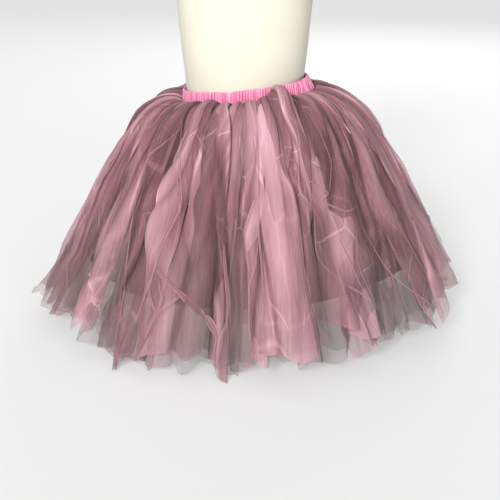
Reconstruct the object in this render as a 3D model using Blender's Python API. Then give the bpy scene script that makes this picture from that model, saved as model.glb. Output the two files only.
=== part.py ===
"""A child's tulle skirt on a limbless dress form.

The skirt is built as it is sewn: a satin casing gathered by its elastic, three layers of
gathered tulle and a lining. The origin is the centre of the form's base, on the surface that
the form stands on. +Z is up, the front faces -Y, and all sizes are in metres.
"""

import math
from collections import namedtuple

import bmesh
import bpy

# Seams and walls
SEAM_GAP = 0.0003  # between two pieces that meet
NET_WALL = 0.0012  # tulle with its body of air, as a wall
LINING_WALL = 0.0012
CASING_WALL = 0.0026  # satin, elastic, satin

# Waist casing: an oval ring, snug on the left of the form and slack on the right
CASING_HEIGHT = 0.0220
CASING_TOP = 0.3735  # height of its top edge over the form's axis
CASING_HALF_WIDTH = 0.0997
CASING_HALF_DEPTH = 0.0800
CASING_SHIFT_X = 0.0065
CASING_SHIFT_Y = -0.0006
WAIST_TILT = 0.109  # rise per metre towards +X
TILT_FADE = 0.060  # length of cloth in which most of the tilt is lost
TILT_KEPT = 0.45  # share of the tilt that the hem keeps
CASING_GATHERS = 40
CASING_GATHER_DEPTH = 0.0009
CASING_SPACING = 0.5  # share of the tulle's uneven spacing that its gathers follow
CASING_SHOULDER = 0.86  # where its rounded edges begin, as a share of its half height
CASING_CROWN = 1.25  # how far its outside swells over the elastic, in half walls
POINTS_PER_WAVE = 4
MERGE = 0.00001  # joins the two ends of a grid that closes round the waist

# How each cloth hangs on the left, on the right, and at the front and back: its slope below
# the horizontal at the seam and at the hem, in degrees, and the length in which it settles
Slope = namedtuple("Slope", "start end settles")
Drape = namedtuple("Drape", "left right front")
TULLE_DRAPE = Drape(Slope(-40, 60, 0.039), Slope(-10, 63, 0.057), Slope(-48, 67, 0.036))
LINING_DRAPE = Drape(Slope(30, 62, 0.050), Slope(34, 63, 0.060), Slope(40, 68, 0.050))
PROFILE_STEPS = 24
GATHERS = 36  # pleats of tulle round the waist, the same for its three layers
ROW_BIAS = 1.8  # rows lie closer together near the waist
TULLE_ROWS = 7  # the same for the three layers, so that they nest
SKIRT_LENGTH = 0.385  # of the tulle, along the cloth
GROWTH = 0.8  # pleats and deep folds grow fast at first and slower towards the hem

# The tulle is sewn on outside the casing's lower edge, its outer layer against the satin
TULLE_SEAM_OUT = 0.0036
TULLE_SEAM_RISE = 0.0020
Layer = namedtuple(
    "Layer", "name length inset_top inset_hem wave_top wave_hem hem_wave phase"
)
TULLE_LAYERS = (
    Layer("tulle_outer", 0.388, 0.0000, 0.0000, 0.0010, 0.0150, 0.0100, 0.0),
    Layer("tulle_middle", 0.378, 0.0018, 0.0110, 0.0010, 0.0135, 0.0080, 0.5),
    Layer("tulle_inner", 0.392, 0.0037, 0.0220, 0.0010, 0.0120, 0.0070, 1.0),
)

# Lining: a plainer tube under the casing, inside the tulle
LINING_LENGTH = 0.300
LINING_GATHERS = 16
LINING_WAVE_TOP = 0.0004
LINING_WAVE_HEM = 0.0070
LINING_ROWS = 5

# The deepest folds: bearing from the front in degrees, + to +X, then depth, half width in
# degrees, and where along the cloth each one begins, as a share of its length
Fold = namedtuple("Fold", "bearing depth half_width begins")
DEEP_FOLDS = (
    Fold(-10, 0.026, 7, 0.10),
    Fold(-36, 0.020, 6, 0.15),
    Fold(-62, 0.022, 8, 0.20),
    Fold(24, 0.018, 6, 0.10),
    Fold(47, 0.024, 7, 0.05),
    Fold(74, 0.020, 8, 0.25),
    Fold(108, 0.022, 9, 0.20),
    Fold(140, 0.026, 8, 0.15),
    Fold(171, 0.020, 7, 0.10),
    Fold(-95, 0.022, 8, 0.20),
    Fold(-128, 0.024, 9, 0.15),
    Fold(-158, 0.020, 7, 0.20),
)

# Where the tulle's hem hangs lower or higher: bearing, extra length, half width in degrees
Dip = namedtuple("Dip", "bearing extra half_width")
HEM_DIPS = (
    Dip(-90, 0.008, 24),
    Dip(-60, -0.008, 6),
    Dip(-36, 0.024, 9),
    Dip(-6, 0.023, 6),
    Dip(40, 0.010, 5),
    Dip(90, -0.010, 26),
    Dip(125, 0.010, 8),
    Dip(158, 0.015, 6),
    Dip(-140, 0.014, 7),
    Dip(-172, 0.008, 6),
)

# Uneven spacing and depth of the pleats: cycles round the waist, size, phase
Ripple = namedtuple("Ripple", "cycles size phase")
SPACING_RIPPLES = (Ripple(3, 0.0045, 0.6), Ripple(7, 0.0022, 2.1), Ripple(11, 0.0012, 4.0))
GATHER_RIPPLES = (Ripple(2, 0.12, 1.0), Ripple(5, 0.08, 3.1))
DEPTH_RIPPLES = (Ripple(5, 0.18, 1.3), Ripple(8, 0.16, 3.9), Ripple(13, 0.10, 0.2))
DRIFT_RIPPLES = (Ripple(2, 0.028, 0.4), Ripple(5, 0.022, 2.7))
HEM_RIPPLES = (Ripple(4, 0.45, 2.2), Ripple(9, 0.35, 0.9), Ripple(17, 0.30, 5.1))
HEM_SHIFT = 0.07  # how far round the waist a layer's hem ripples move for a phase of 1

# Dress form: height, half width, half depth, forward shift and corner power of each section.
# A power of 2 is an ellipse and more than 2 is squarer.
Section = namedtuple("Section", "height half_width half_depth shift_y power")
FORM_SECTIONS = (
    Section(0.000, 0.0915, 0.0770, 0.000, 2.2),
    Section(0.006, 0.0950, 0.0800, 0.000, 2.2),
    Section(0.090, 0.1030, 0.0870, 0.002, 2.2),
    Section(0.170, 0.1095, 0.0915, 0.005, 2.2),
    Section(0.235, 0.1085, 0.0900, 0.005, 2.2),
    Section(0.300, 0.0970, 0.0810, 0.003, 2.2),
    Section(0.330, 0.0906, 0.0745, 0.000, 2.05),
    Section(0.352, 0.0893, 0.0735, 0.000, 2.0),
    Section(0.378, 0.0907, 0.0745, 0.000, 2.05),
    Section(0.421, 0.0950, 0.0770, 0.000, 2.25),
    Section(0.494, 0.1016, 0.0810, 0.000, 2.3),
    Section(0.560, 0.1085, 0.0850, 0.001, 2.35),
    Section(0.602, 0.1170, 0.0800, 0.003, 2.4),
    Section(0.626, 0.1190, 0.0680, 0.006, 2.4),
    Section(0.642, 0.1050, 0.0560, 0.008, 2.3),
    Section(0.654, 0.0760, 0.0480, 0.009, 2.15),
    Section(0.666, 0.0500, 0.0430, 0.009, 2.0),
    Section(0.684, 0.0425, 0.0410, 0.008, 2.0),
    Section(0.706, 0.0410, 0.0405, 0.007, 2.0),
    Section(0.712, 0.0375, 0.0370, 0.007, 2.0),
)
FORM_SIDES = 40

# Colours are linear RGB
TULLE_PINK = (0.45, 0.25, 0.29)
LINING_PINK = (0.36, 0.17, 0.19)
SATIN_PINK = (0.86, 0.20, 0.42)
FORM_IVORY = (0.88, 0.87, 0.76)


def material(name, colour, roughness):
    """A Principled finish of one colour."""
    made = bpy.data.materials.new(name)
    made.use_nodes = True
    shader = made.node_tree.nodes["Principled BSDF"]
    shader.inputs["Base Color"].default_value = (*colour, 1.0)
    shader.inputs["Roughness"].default_value = roughness
    made.diffuse_color = (*colour, 1.0)
    return made


def ripple(ripples, across):
    """The sum of some ripples at a place round the cloth, from 0 to 1."""
    return sum(
        one.size * math.sin(2 * math.pi * one.cycles * across + one.phase) for one in ripples
    )


def blend(start, end, share):
    """A value between start and end."""
    return start + (end - start) * share


def hang(drape, angle, along):
    """How far a cloth has gone out and down from its seam, and its slope there."""
    sideways = math.cos(angle) ** 2
    side = drape.right if math.cos(angle) > 0 else drape.left
    start = math.radians(blend(drape.front.start, side.start, sideways))
    end = math.radians(blend(drape.front.end, side.end, sideways))
    settles = blend(drape.front.settles, side.settles, sideways)
    step = along / PROFILE_STEPS
    out = down = 0.0
    for number in range(PROFILE_STEPS):
        slope = end - (end - start) * math.exp(-(number + 0.5) * step / settles)
        out += math.cos(slope) * step
        down += math.sin(slope) * step
    return out, down, end - (end - start) * math.exp(-along / settles)


def near(angle, bearing, half_width):
    """How much of a fold or dip at a bearing is felt at an angle, from 0 to 1."""
    away = (math.degrees(angle) + 90.0 - bearing + 180.0) % 360.0 - 180.0
    return math.exp(-((away / half_width) ** 2))


def fold_depth(angle, along):
    """How far the deep folds push the cloth in at an angle and a length down it."""
    share = along / SKIRT_LENGTH
    depth = 0.0
    for fold in DEEP_FOLDS:
        grown = max(0.0, (share - fold.begins) / (1.0 - fold.begins)) ** GROWTH
        depth += fold.depth * grown * near(angle, fold.bearing, fold.half_width)
    return depth


def skirt_point(drape, angle, along, lift, seam_out, seam_height):
    """A point of a cloth at an angle and a length down it, lifted off its hanging curve."""
    out, down, slope = hang(drape, angle, along)
    out += seam_out + lift * math.sin(slope)
    down -= lift * math.cos(slope)
    waist_x = CASING_SHIFT_X + CASING_HALF_WIDTH * math.cos(angle)
    tilt = WAIST_TILT * blend(TILT_KEPT, 1.0, math.exp(-along / TILT_FADE))
    return (
        waist_x + out * math.cos(angle),
        CASING_SHIFT_Y + (CASING_HALF_DEPTH + out) * math.sin(angle),
        seam_height + tilt * waist_x - down,
    )


def tulle_point(layer, across, share):
    """A point of one tulle layer, across its width and a share of its length down."""
    angle = 2 * math.pi * (across + ripple(SPACING_RIPPLES, across))
    shifted = across + HEM_SHIFT * layer.phase
    length = layer.length + layer.hem_wave * ripple(HEM_RIPPLES, shifted)
    length += sum(dip.extra * near(angle, dip.bearing, dip.half_width) for dip in HEM_DIPS)
    angle += ripple(DRIFT_RIPPLES, across) * share
    swell = 1.0 + ripple(DEPTH_RIPPLES, across)
    wave = blend(layer.wave_top, layer.wave_hem * swell, share**GROWTH)
    inset = blend(layer.inset_top, layer.inset_hem, share)
    along = length * share
    gather = math.cos(2 * math.pi * (GATHERS * across + ripple(GATHER_RIPPLES, across)))
    lift = wave * gather - inset - fold_depth(angle, along)
    seam_height = CASING_TOP - CASING_HEIGHT + TULLE_SEAM_RISE
    return skirt_point(TULLE_DRAPE, angle, along, lift, TULLE_SEAM_OUT, seam_height)


def lining_point(across, share):
    """A point of the lining."""
    angle = 2 * math.pi * across
    along = LINING_LENGTH * share
    wave = blend(LINING_WAVE_TOP, LINING_WAVE_HEM, share)
    lift = wave * math.cos(2 * math.pi * LINING_GATHERS * across) - fold_depth(angle, along)
    seam_height = CASING_TOP - CASING_HEIGHT - 2 * SEAM_GAP - LINING_WALL / 2
    return skirt_point(LINING_DRAPE, angle, along, lift, 0.0, seam_height)


def add_object(name, mesh_maker, finish):
    """A named object with its mesh and its finish."""
    mesh = bpy.data.meshes.new(name)
    mesh_maker.to_mesh(mesh)
    mesh_maker.free()
    mesh.shade_smooth()
    made = bpy.data.objects.new(name, mesh)
    bpy.context.scene.collection.objects.link(made)
    mesh.materials.append(finish)
    return made


def cloth_tube(name, gathers, rows, place, wall, finish):
    """A gathered tube of cloth: a grid closed round the waist, then given its thickness."""
    maker = bmesh.new()
    bmesh.ops.create_grid(
        maker, x_segments=gathers * POINTS_PER_WAVE, y_segments=rows - 1, size=0.5
    )
    for point in maker.verts:
        across, share = point.co.x + 0.5, 0.5 - point.co.y
        point.co = place(across, max(0.0, share) ** ROW_BIAS)
    bmesh.ops.remove_doubles(maker, verts=maker.verts, dist=MERGE)
    made = add_object(name, maker, finish)
    thicken = made.modifiers.new("wall", "SOLIDIFY")
    thicken.thickness = wall
    thicken.offset = 0.0
    return made


def build_casing(finish):
    """The satin casing: a flat oval tube with the gathers of its elastic."""
    half_wall, half_height = CASING_WALL / 2, CASING_HEIGHT / 2
    shoulder = CASING_SHOULDER * half_height
    outline = (
        (half_wall, -shoulder),
        (CASING_CROWN * half_wall, 0.0),
        (half_wall, shoulder),
        (0.0, half_height),
        (-half_wall, shoulder),
        (-half_wall, -shoulder),
        (0.0, -half_height),
    )
    columns = CASING_GATHERS * POINTS_PER_WAVE
    maker = bmesh.new()
    bmesh.ops.create_grid(maker, x_segments=columns, y_segments=len(outline), size=0.5)
    for point in maker.verts:
        across, row = point.co.x + 0.5, round((point.co.y + 0.5) * len(outline)) % len(outline)
        angle = 2 * math.pi * (across + CASING_SPACING * ripple(SPACING_RIPPLES, across))
        outward, upward = outline[row]
        outward += CASING_GATHER_DEPTH * math.cos(2 * math.pi * CASING_GATHERS * across)
        x = CASING_SHIFT_X + (CASING_HALF_WIDTH + outward) * math.cos(angle)
        y = CASING_SHIFT_Y + (CASING_HALF_DEPTH + outward) * math.sin(angle)
        point.co = (x, y, CASING_TOP - half_height + upward + WAIST_TILT * x)
    bmesh.ops.remove_doubles(maker, verts=maker.verts, dist=MERGE)
    return add_object("waist_casing", maker, finish)


def section_point(section, angle):
    """A point of the form's outline in one section."""
    flat = 2.0 / section.power
    x = math.copysign(abs(math.cos(angle)) ** flat, math.cos(angle))
    y = math.copysign(abs(math.sin(angle)) ** flat, math.sin(angle))
    return section.half_width * x, section.shift_y + section.half_depth * y, section.height


def build_form(finish):
    """The dress form: rings extruded from its base to its neck, closed flat at both ends."""
    maker = bmesh.new()
    bmesh.ops.create_circle(maker, cap_ends=False, segments=FORM_SIDES, radius=1.0)
    order = maker.verts.layers.int.new("order")
    for number, point in enumerate(maker.verts):
        point[order] = number
    ring = list(maker.edges)
    for section in FORM_SECTIONS:
        if section is not FORM_SECTIONS[0]:
            ring = [
                item
                for item in bmesh.ops.extrude_edge_only(maker, edges=ring)["geom"]
                if isinstance(item, bmesh.types.BMEdge)
            ]
        for point in {end for edge in ring for end in edge.verts}:
            angle = 2 * math.pi * point[order] / FORM_SIDES
            point.co = section_point(section, angle)
    open_edges = [edge for edge in maker.edges if edge.is_boundary]
    bmesh.ops.holes_fill(maker, edges=open_edges, sides=0)
    bmesh.ops.recalc_face_normals(maker, faces=maker.faces)
    made = add_object("dress_form", maker, finish)
    made.data.set_sharp_from_angle(angle=math.radians(50))
    return made


def main():
    """Builds the form and the skirt's pieces."""
    for old in list(bpy.data.objects):
        bpy.data.objects.remove(old)
    tulle = material("tulle", TULLE_PINK, 0.8)
    build_form(material("form_plastic", FORM_IVORY, 0.35))
    build_casing(material("satin", SATIN_PINK, 0.4))
    for layer in TULLE_LAYERS:
        cloth_tube(
            layer.name,
            GATHERS,
            TULLE_ROWS,
            lambda across, share, layer=layer: tulle_point(layer, across, share),
            NET_WALL,
            tulle,
        )
    cloth_tube(
        "lining",
        LINING_GATHERS,
        LINING_ROWS,
        lining_point,
        LINING_WALL,
        material("lining", LINING_PINK, 0.7),
    )


main()
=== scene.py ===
"""The finished look of a child's tulle skirt on its dress form.

The skirt is three layers of gathered tulle and an opaque lining, sewn to a satin waist casing.
Each cloth is a thin shell that follows its solid: the same drape, pleats and deep folds, with
the finer gathers, creases and loose strands of real net. Sizes are in metres, +Z is up and the
front faces -Y. A bearing is an angle round the waist from the front, + towards +X.
"""

import logging
import math
from collections.abc import Callable, Sequence
from dataclasses import dataclass, replace
from enum import Enum
from typing import Any

import bmesh
import bpy
import numpy as np
from mathutils import Matrix, Vector

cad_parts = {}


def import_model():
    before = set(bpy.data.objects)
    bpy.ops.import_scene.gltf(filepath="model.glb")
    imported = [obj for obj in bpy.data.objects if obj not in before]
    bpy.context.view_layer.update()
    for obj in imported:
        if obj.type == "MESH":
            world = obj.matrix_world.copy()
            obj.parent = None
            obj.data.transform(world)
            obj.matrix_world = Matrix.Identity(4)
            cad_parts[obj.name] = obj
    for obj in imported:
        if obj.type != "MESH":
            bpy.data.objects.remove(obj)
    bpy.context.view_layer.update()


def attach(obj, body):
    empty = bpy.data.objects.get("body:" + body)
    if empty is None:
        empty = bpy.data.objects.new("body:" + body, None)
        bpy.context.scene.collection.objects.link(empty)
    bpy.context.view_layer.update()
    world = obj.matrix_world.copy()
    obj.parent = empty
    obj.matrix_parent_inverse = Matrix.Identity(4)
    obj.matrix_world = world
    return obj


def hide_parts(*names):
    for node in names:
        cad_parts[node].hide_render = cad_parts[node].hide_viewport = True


LOG = logging.getLogger("tulle_skirt")
TAU = 2 * math.pi
BODY = "root"
MERGE = 0.00001  # joins the two edges of a tube of cloth
GROWTH = 0.8  # pleats and folds grow fast at first and slower towards the hem
FLOOR_BEND = 0.005  # height over which a hem that reaches the floor levels off
WAIST_REACH = 0.105  # the skirt's mean radius at its waist
HEM_REACH = 0.34  # and at its hem
PRESSED_SIZE = 0.81  # brings a pressed wave's crests near 1
OPEN_HEM = 1.3  # a tuck that closes here, past the hem, is still open at it

Array = np.ndarray
Place = Callable[[Array, Array], "Cloth"]


# ---------------------------------------------------------------- waves and folds in cloth


def blend(start: Any, end: Any, share: Any) -> Any:
    """Return a value between start and end."""
    return start + (end - start) * share


def settle(low: float, high: float, value: Array) -> Array:
    """Return 0 below low, 1 above high and a smooth rise between them."""
    share = np.clip((value - low) / (high - low), 0.0, 1.0)
    return share * share * (3.0 - 2.0 * share)


@dataclass(frozen=True)
class Ripple:
    """One wave round the cloth: its cycles, size and phase."""

    cycles: int
    size: float
    phase: float


def ripple(ripples: Sequence[Ripple], across: Array) -> Array:
    """Return the sum of some ripples at places round the cloth, from 0 to 1."""
    return sum(one.size * np.sin(TAU * one.cycles * across + one.phase) for one in ripples)


@dataclass(frozen=True)
class Rumple:
    """A seamless field of chance waves over a tube of cloth, with a spread of about 1.

    Attributes:
        seed: Which field this is.
        cycles: The fewest and most waves round the tube.
        runs: The fewest and most waves down it.
        count: How many waves are added up.
    """

    seed: int
    cycles: tuple[int, int]
    runs: tuple[float, float]
    count: int = 18

    def at(self, across: Array, share: Array) -> Array:
        """Return the field's height at places across and down the cloth."""
        chance = np.random.default_rng(self.seed)
        total = np.zeros_like(across)
        for _ in range(self.count):
            round_it = int(chance.integers(self.cycles[0], self.cycles[1] + 1))
            down_it = chance.uniform(*self.runs) * chance.choice((-1.0, 1.0))
            total += np.sin(TAU * (round_it * across + down_it * share) + chance.uniform(0, TAU))
        return total / math.sqrt(self.count / 2)


@dataclass(frozen=True)
class Slope:
    """A cloth's slope below the horizontal at its seam and its hem, and where it settles."""

    start: float
    end: float
    settles: float


@dataclass(frozen=True)
class Drape:
    """How a cloth hangs on the left, on the right, and at the front and back."""

    left: Slope
    right: Slope
    front: Slope
    steps: int = 24

    def hang(self, angle: Array, along: Array) -> tuple[Array, Array, Array]:
        """Follow the cloth from its seam.

        Args:
            angle: Angles round the waist, from +X.
            along: Lengths down the cloth.

        Returns:
            How far it has gone out, how far down, and its slope there.
        """
        sideways = np.cos(angle) ** 2
        right = np.cos(angle) > 0
        start, end, settles = (
            blend(
                getattr(self.front, name),
                np.where(right, getattr(self.right, name), getattr(self.left, name)),
                sideways,
            )
            for name in ("start", "end", "settles")
        )
        start, end = np.radians(start), np.radians(end)
        step = along / self.steps
        out, down = np.zeros_like(along), np.zeros_like(along)
        for number in range(self.steps):
            slope = end - (end - start) * np.exp(-(number + 0.5) * step / settles)
            out += np.cos(slope) * step
            down += np.sin(slope) * step
        return out, down, end - (end - start) * np.exp(-along / settles)


@dataclass(frozen=True)
class Fold:
    """A deep fold: its bearing, depth, half width in degrees, and where it begins."""

    bearing: float
    depth: float
    half_width: float
    begins: float


@dataclass(frozen=True)
class Dip:
    """A place where the hem hangs lower: its bearing, extra length and half width."""

    bearing: float
    extra: float
    half_width: float


@dataclass(frozen=True)
class Crease:
    """A soft raised crease down the casing, or a trough if its height is below 0.

    Attributes:
        top: Its bearing at the casing's upper edge.
        foot: Its bearing at the lower edge.
        half_width: Half its width in degrees.
        height: How far it stands out.
    """

    top: float
    foot: float
    half_width: float
    height: float


@dataclass(frozen=True)
class Zone:
    """A place on the cloth: its bearing, share of the way down, half sizes and strength."""

    bearing: float
    share: float
    half_width: float
    half_height: float
    strength: float = 0.26

    def felt(self, angle: Array, share: Array) -> Array:
        """Return how much of it is felt at each place, from 0 to 1."""
        down = np.exp(-(((share - self.share) / self.half_height) ** 4))
        return near(angle, self.bearing, self.half_width) * down


def bearing_of(angle: Array) -> Array:
    """Return the bearings, in degrees from the front, of angles from +X."""
    return np.degrees(angle) + 90.0


def angle_of(bearing: Any) -> Any:
    """Return the angles from +X of bearings in degrees from the front."""
    return np.radians(bearing - 90.0)


def wrapped(degrees: Array) -> Array:
    """Return degrees brought between -180 and 180."""
    return (degrees + 180.0) % 360.0 - 180.0


def near(angle: Array, bearing: float, half_width: float) -> Array:
    """Return how much of a fold at a bearing is felt at each angle, from 0 to 1."""
    away = wrapped(bearing_of(angle) - bearing)
    return np.exp(-((away / half_width) ** 2))


def above_floor(height: Array) -> Array:
    """Return heights that level off just above the floor instead of passing it."""
    return 0.5 * (height + np.sqrt(height * height + FLOOR_BEND * FLOOR_BEND))


def reach(share: Any) -> Any:
    """Return the skirt's mean radius at a share of the way down it."""
    return blend(WAIST_REACH, HEM_REACH, share)


def pressed(turn: Array) -> Array:
    """Return a wave with flat sides and sharp crests, as a stiff net folds."""
    return PRESSED_SIZE * (np.cos(turn) + np.cos(3 * turn) / 9 + np.cos(5 * turn) / 25)


@dataclass(frozen=True)
class Tuck:
    """A flat fold, which laps the net over itself three times between two sharp edges.

    Attributes:
        top: Its bearing at the waist.
        hem: Its bearing at the hem.
        begins: Share of the way down at which it opens.
        ends: Share of the way down at which it closes.
        half_width: Half its width at the hem.
        side: 1 laps it towards greater bearings, and -1 towards lesser ones.
        overlap: How far it laps over itself, in half widths.
        edge: Where its sharp edges lie, in half widths from its middle.
        edge_width: Half the width of the painted highlight line on an edge, in half widths.
        rise: How far it stands off, in half widths.
        foot: How far out it still stands off, in half widths.
        waist_width: Its width at the waist, as a share of that at the hem.
        opening: Share of the way down over which it opens or closes.
        point_length: How far its point hangs below the hem, in half widths.
        point_width: Half the width of the point, in half widths.
    """

    top: float
    hem: float
    begins: float
    ends: float
    half_width: float
    side: int = 1
    overlap: float = 2.4
    edge: float = 0.43
    edge_width: float = 0.12
    rise: float = 0.34
    foot: float = 2.2
    waist_width: float = 0.30
    opening: float = 0.15
    point_length: float = 0.45
    point_width: float = 0.6

    def point(self, angle: Array) -> Array:
        """Return the extra length of its pointed end at the hem."""
        if self.ends < 1.0:
            return 0.0 * angle
        half_width = math.degrees(self.point_width * self.half_width / reach(1.0))
        return self.point_length * self.half_width * near(angle, self.hem, half_width)

    def lap(self, angle: Array, share: Array) -> tuple[Array, Array, Array]:
        """Return the shift along the waist, the lift and the edges that it makes."""
        line = angle_of(blend(self.top, self.hem, share**GROWTH))
        away = (angle - line + math.pi) % TAU - math.pi
        half_width = self.half_width * blend(self.waist_width, 1.0, share)
        x = away * reach(share) / half_width
        opened = settle(self.begins, self.begins + self.opening, share)
        opened = opened * (1.0 - settle(self.ends - self.opening, self.ends, share))
        shift = self.side * self.overlap * half_width * opened * x * np.exp(-x * x)
        height = self.rise * half_width * opened * x * np.exp(-((x / self.foot) ** 2))
        # Where the painted highlight lines along its two sharp edges lie
        edges = np.exp(-(((np.abs(x) - self.edge) / self.edge_width) ** 2)) * opened
        return -self.side * shift, -self.side * height, edges


@dataclass(frozen=True)
class ChanceTucks:
    """Tucks spread unevenly round the whole skirt.

    Attributes:
        count: How many there are.
        stray: How far each may stray from even spacing, in spaces.
        from_waist: The share of them that open at the waist.
        opens: Where the others open, as shares of the way down.
        to_hem: The share of them that stay open at the hem.
        closes: Where the others close, as shares of the way down.
        lean: How far they lean on their way down, in degrees.
        half_widths: The least and most half width.
    """

    count: int = 46
    stray: float = 0.45
    from_waist: float = 0.65
    opens: tuple[float, float] = (0.15, 0.5)
    to_hem: float = 0.7
    closes: tuple[float, float] = (0.55, 0.95)
    lean: float = 3.0
    half_widths: tuple[float, float] = (0.007, 0.020)

    def draw(self, seed: int) -> tuple[Tuck, ...]:
        """Return the tucks that a seed gives."""
        chance = np.random.default_rng(seed)
        made = []
        for number in range(self.count):
            place = number + chance.uniform(-self.stray, self.stray)
            top = 360.0 * place / self.count - 180.0
            from_waist = chance.random() < self.from_waist
            begins = 0.0 if from_waist else chance.uniform(*self.opens)
            to_hem = chance.random() < self.to_hem
            ends = OPEN_HEM if to_hem else chance.uniform(*self.closes)
            hem = top + chance.normal(0.0, self.lean)
            half_width = chance.uniform(*self.half_widths)
            side = int(chance.choice((-1, 1)))
            made.append(Tuck(top, hem, begins, ends, half_width, side))
        return tuple(made)


@dataclass(frozen=True)
class Crumple:
    """Flat facets with sharp straight edges, such as a stiff net takes where it is crushed.

    Attributes:
        seed: Which facets these are.
        count: How many there are.
        width: The width of the cloth that they cover.
        length: Its length.
        stretch: How much longer than wide they are.
        lean: How far they lean to one side or the other.
        margin: How far past the waist and the hem they go, as a share of the length.
        steepness: How steep they are.
        level: How much they differ in height.
        bevel: How far from its edges a facet is full.
        line: Half the width of the painted highlight line on an edge.
    """

    seed: int
    count: int = 300
    width: float = 2.60
    length: float = 0.385
    stretch: float = 2.6
    lean: float = 0.35
    margin: float = 0.1
    steepness: float = 22.0
    level: float = 0.5
    bevel: float = 0.014
    line: float = 0.0022

    def at(self, across: Array, share: Array) -> tuple[Array, Array]:
        """Return the facets' height, about -1 to 1, and how near each place is to an edge."""
        chance = np.random.default_rng(self.seed)
        nearest = np.full_like(across, np.inf)
        second = np.full_like(across, np.inf)
        tilt = np.zeros_like(across)
        for _ in range(self.count):
            centre_x, centre_y = chance.random(2)
            slope_x, slope_y, height = chance.normal(0.0, 1.0, 3)
            x = ((across - centre_x + 0.5) % 1.0 - 0.5) * self.width
            middle = blend(-self.margin, 1.0 + self.margin, centre_y)
            y = (share - middle) * self.length / self.stretch
            y = y + self.lean * x * math.copysign(1.0, slope_y)
            away = np.hypot(x, y)
            closer = away < nearest
            second = np.where(closer, nearest, np.minimum(second, away))
            slant = self.steepness * (slope_x * x + slope_y * y) + self.level * height
            tilt = np.where(closer, slant, tilt)
            nearest = np.minimum(nearest, away)
        inside = second - nearest
        height = np.clip(tilt, -1.0, 1.0) * settle(0.0, self.bevel, inside)
        return height, np.exp(-((inside / self.line) ** 2))


@dataclass(frozen=True)
class Waist:
    """The waist that every cloth hangs from, and the folds that they share."""

    casing_height: float = 0.0220
    casing_top: float = 0.3735
    half_width: float = 0.0997
    half_depth: float = 0.0800
    shift_x: float = 0.0065
    shift_y: float = -0.0006
    tilt: float = 0.109
    tilt_fade: float = 0.060
    tilt_kept: float = 0.45
    skirt_length: float = 0.385
    folds: tuple[Fold, ...] = (
        Fold(-10, 0.026, 7, 0.10),
        Fold(-36, 0.020, 6, 0.15),
        Fold(-62, 0.022, 8, 0.20),
        Fold(24, 0.018, 6, 0.10),
        Fold(47, 0.024, 7, 0.05),
        Fold(74, 0.020, 8, 0.25),
        Fold(108, 0.022, 9, 0.20),
        Fold(140, 0.026, 8, 0.15),
        Fold(171, 0.020, 7, 0.10),
        Fold(-95, 0.022, 8, 0.20),
        Fold(-128, 0.024, 9, 0.15),
        Fold(-158, 0.020, 7, 0.20),
    )

    def fold_depth(self, angle: Array, along: Array) -> Array:
        """Return how far the deep folds push the cloth in."""
        share = along / self.skirt_length
        depth = np.zeros_like(along)
        for fold in self.folds:
            grown = np.maximum(0.0, (share - fold.begins) / (1.0 - fold.begins)) ** GROWTH
            depth += fold.depth * grown * near(angle, fold.bearing, fold.half_width)
        return depth

    def place(
        self, drape: Drape, angle: Array, along: Array, lift: Array, out: float, height: float
    ) -> Array:
        """Return points of a cloth, lifted off its hanging curve.

        Args:
            drape: How the cloth hangs.
            angle: Angles round the waist, from +X.
            along: Lengths down the cloth.
            lift: How far each point stands off the curve.
            out: How far outside the casing's line the seam is.
            height: The seam's height.

        Returns:
            One row of x, y, z for each point.
        """
        gone, down, slope = drape.hang(angle, along)
        gone = gone + out + lift * np.sin(slope)
        down = down - lift * np.cos(slope)
        waist_x = self.shift_x + self.half_width * np.cos(angle)
        tilt = self.tilt * blend(self.tilt_kept, 1.0, np.exp(-along / self.tilt_fade))
        return np.stack(
            (
                waist_x + gone * np.cos(angle),
                self.shift_y + (self.half_depth + gone) * np.sin(angle),
                above_floor(height + tilt * waist_x - down),
            ),
            axis=-1,
        )


# ---------------------------------------------------------------- meshes


@dataclass
class Cloth:
    """The points of a cloth, with named marks, from 0 to 1, that its finish reads."""

    points: Array
    marks: dict[str, Array]


def add_piece(name: str, maker: bmesh.types.BMesh, finish: bpy.types.Material) -> bpy.types.Object:
    """Make a smooth, finished object of a bmesh, and free the bmesh."""
    mesh = bpy.data.meshes.new(name)
    maker.to_mesh(mesh)
    maker.free()
    mesh.shade_smooth()
    mesh.materials.append(finish)
    made = bpy.data.objects.new(name, mesh)
    bpy.context.scene.collection.objects.link(made)
    return made


def cloth_grid(columns: int, rows: int) -> tuple[bpy.types.Mesh, Array, Array]:
    """Make a flat grid with its UV map.

    Args:
        columns: Faces across.
        rows: Faces down.

    Returns:
        The mesh, and how far each of its points is across and down, from 0 to 1.
    """
    maker = bmesh.new()
    maker.loops.layers.uv.new("UVMap")
    bmesh.ops.create_grid(maker, x_segments=columns, y_segments=rows, size=0.5, calc_uvs=True)
    mesh = bpy.data.meshes.new("cloth")
    maker.to_mesh(mesh)
    maker.free()
    flat = np.empty(len(mesh.vertices) * 3)
    mesh.vertices.foreach_get("co", flat)
    flat = flat.reshape(-1, 3)
    return mesh, flat[:, 0] + 0.5, 0.5 - flat[:, 1]


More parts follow.
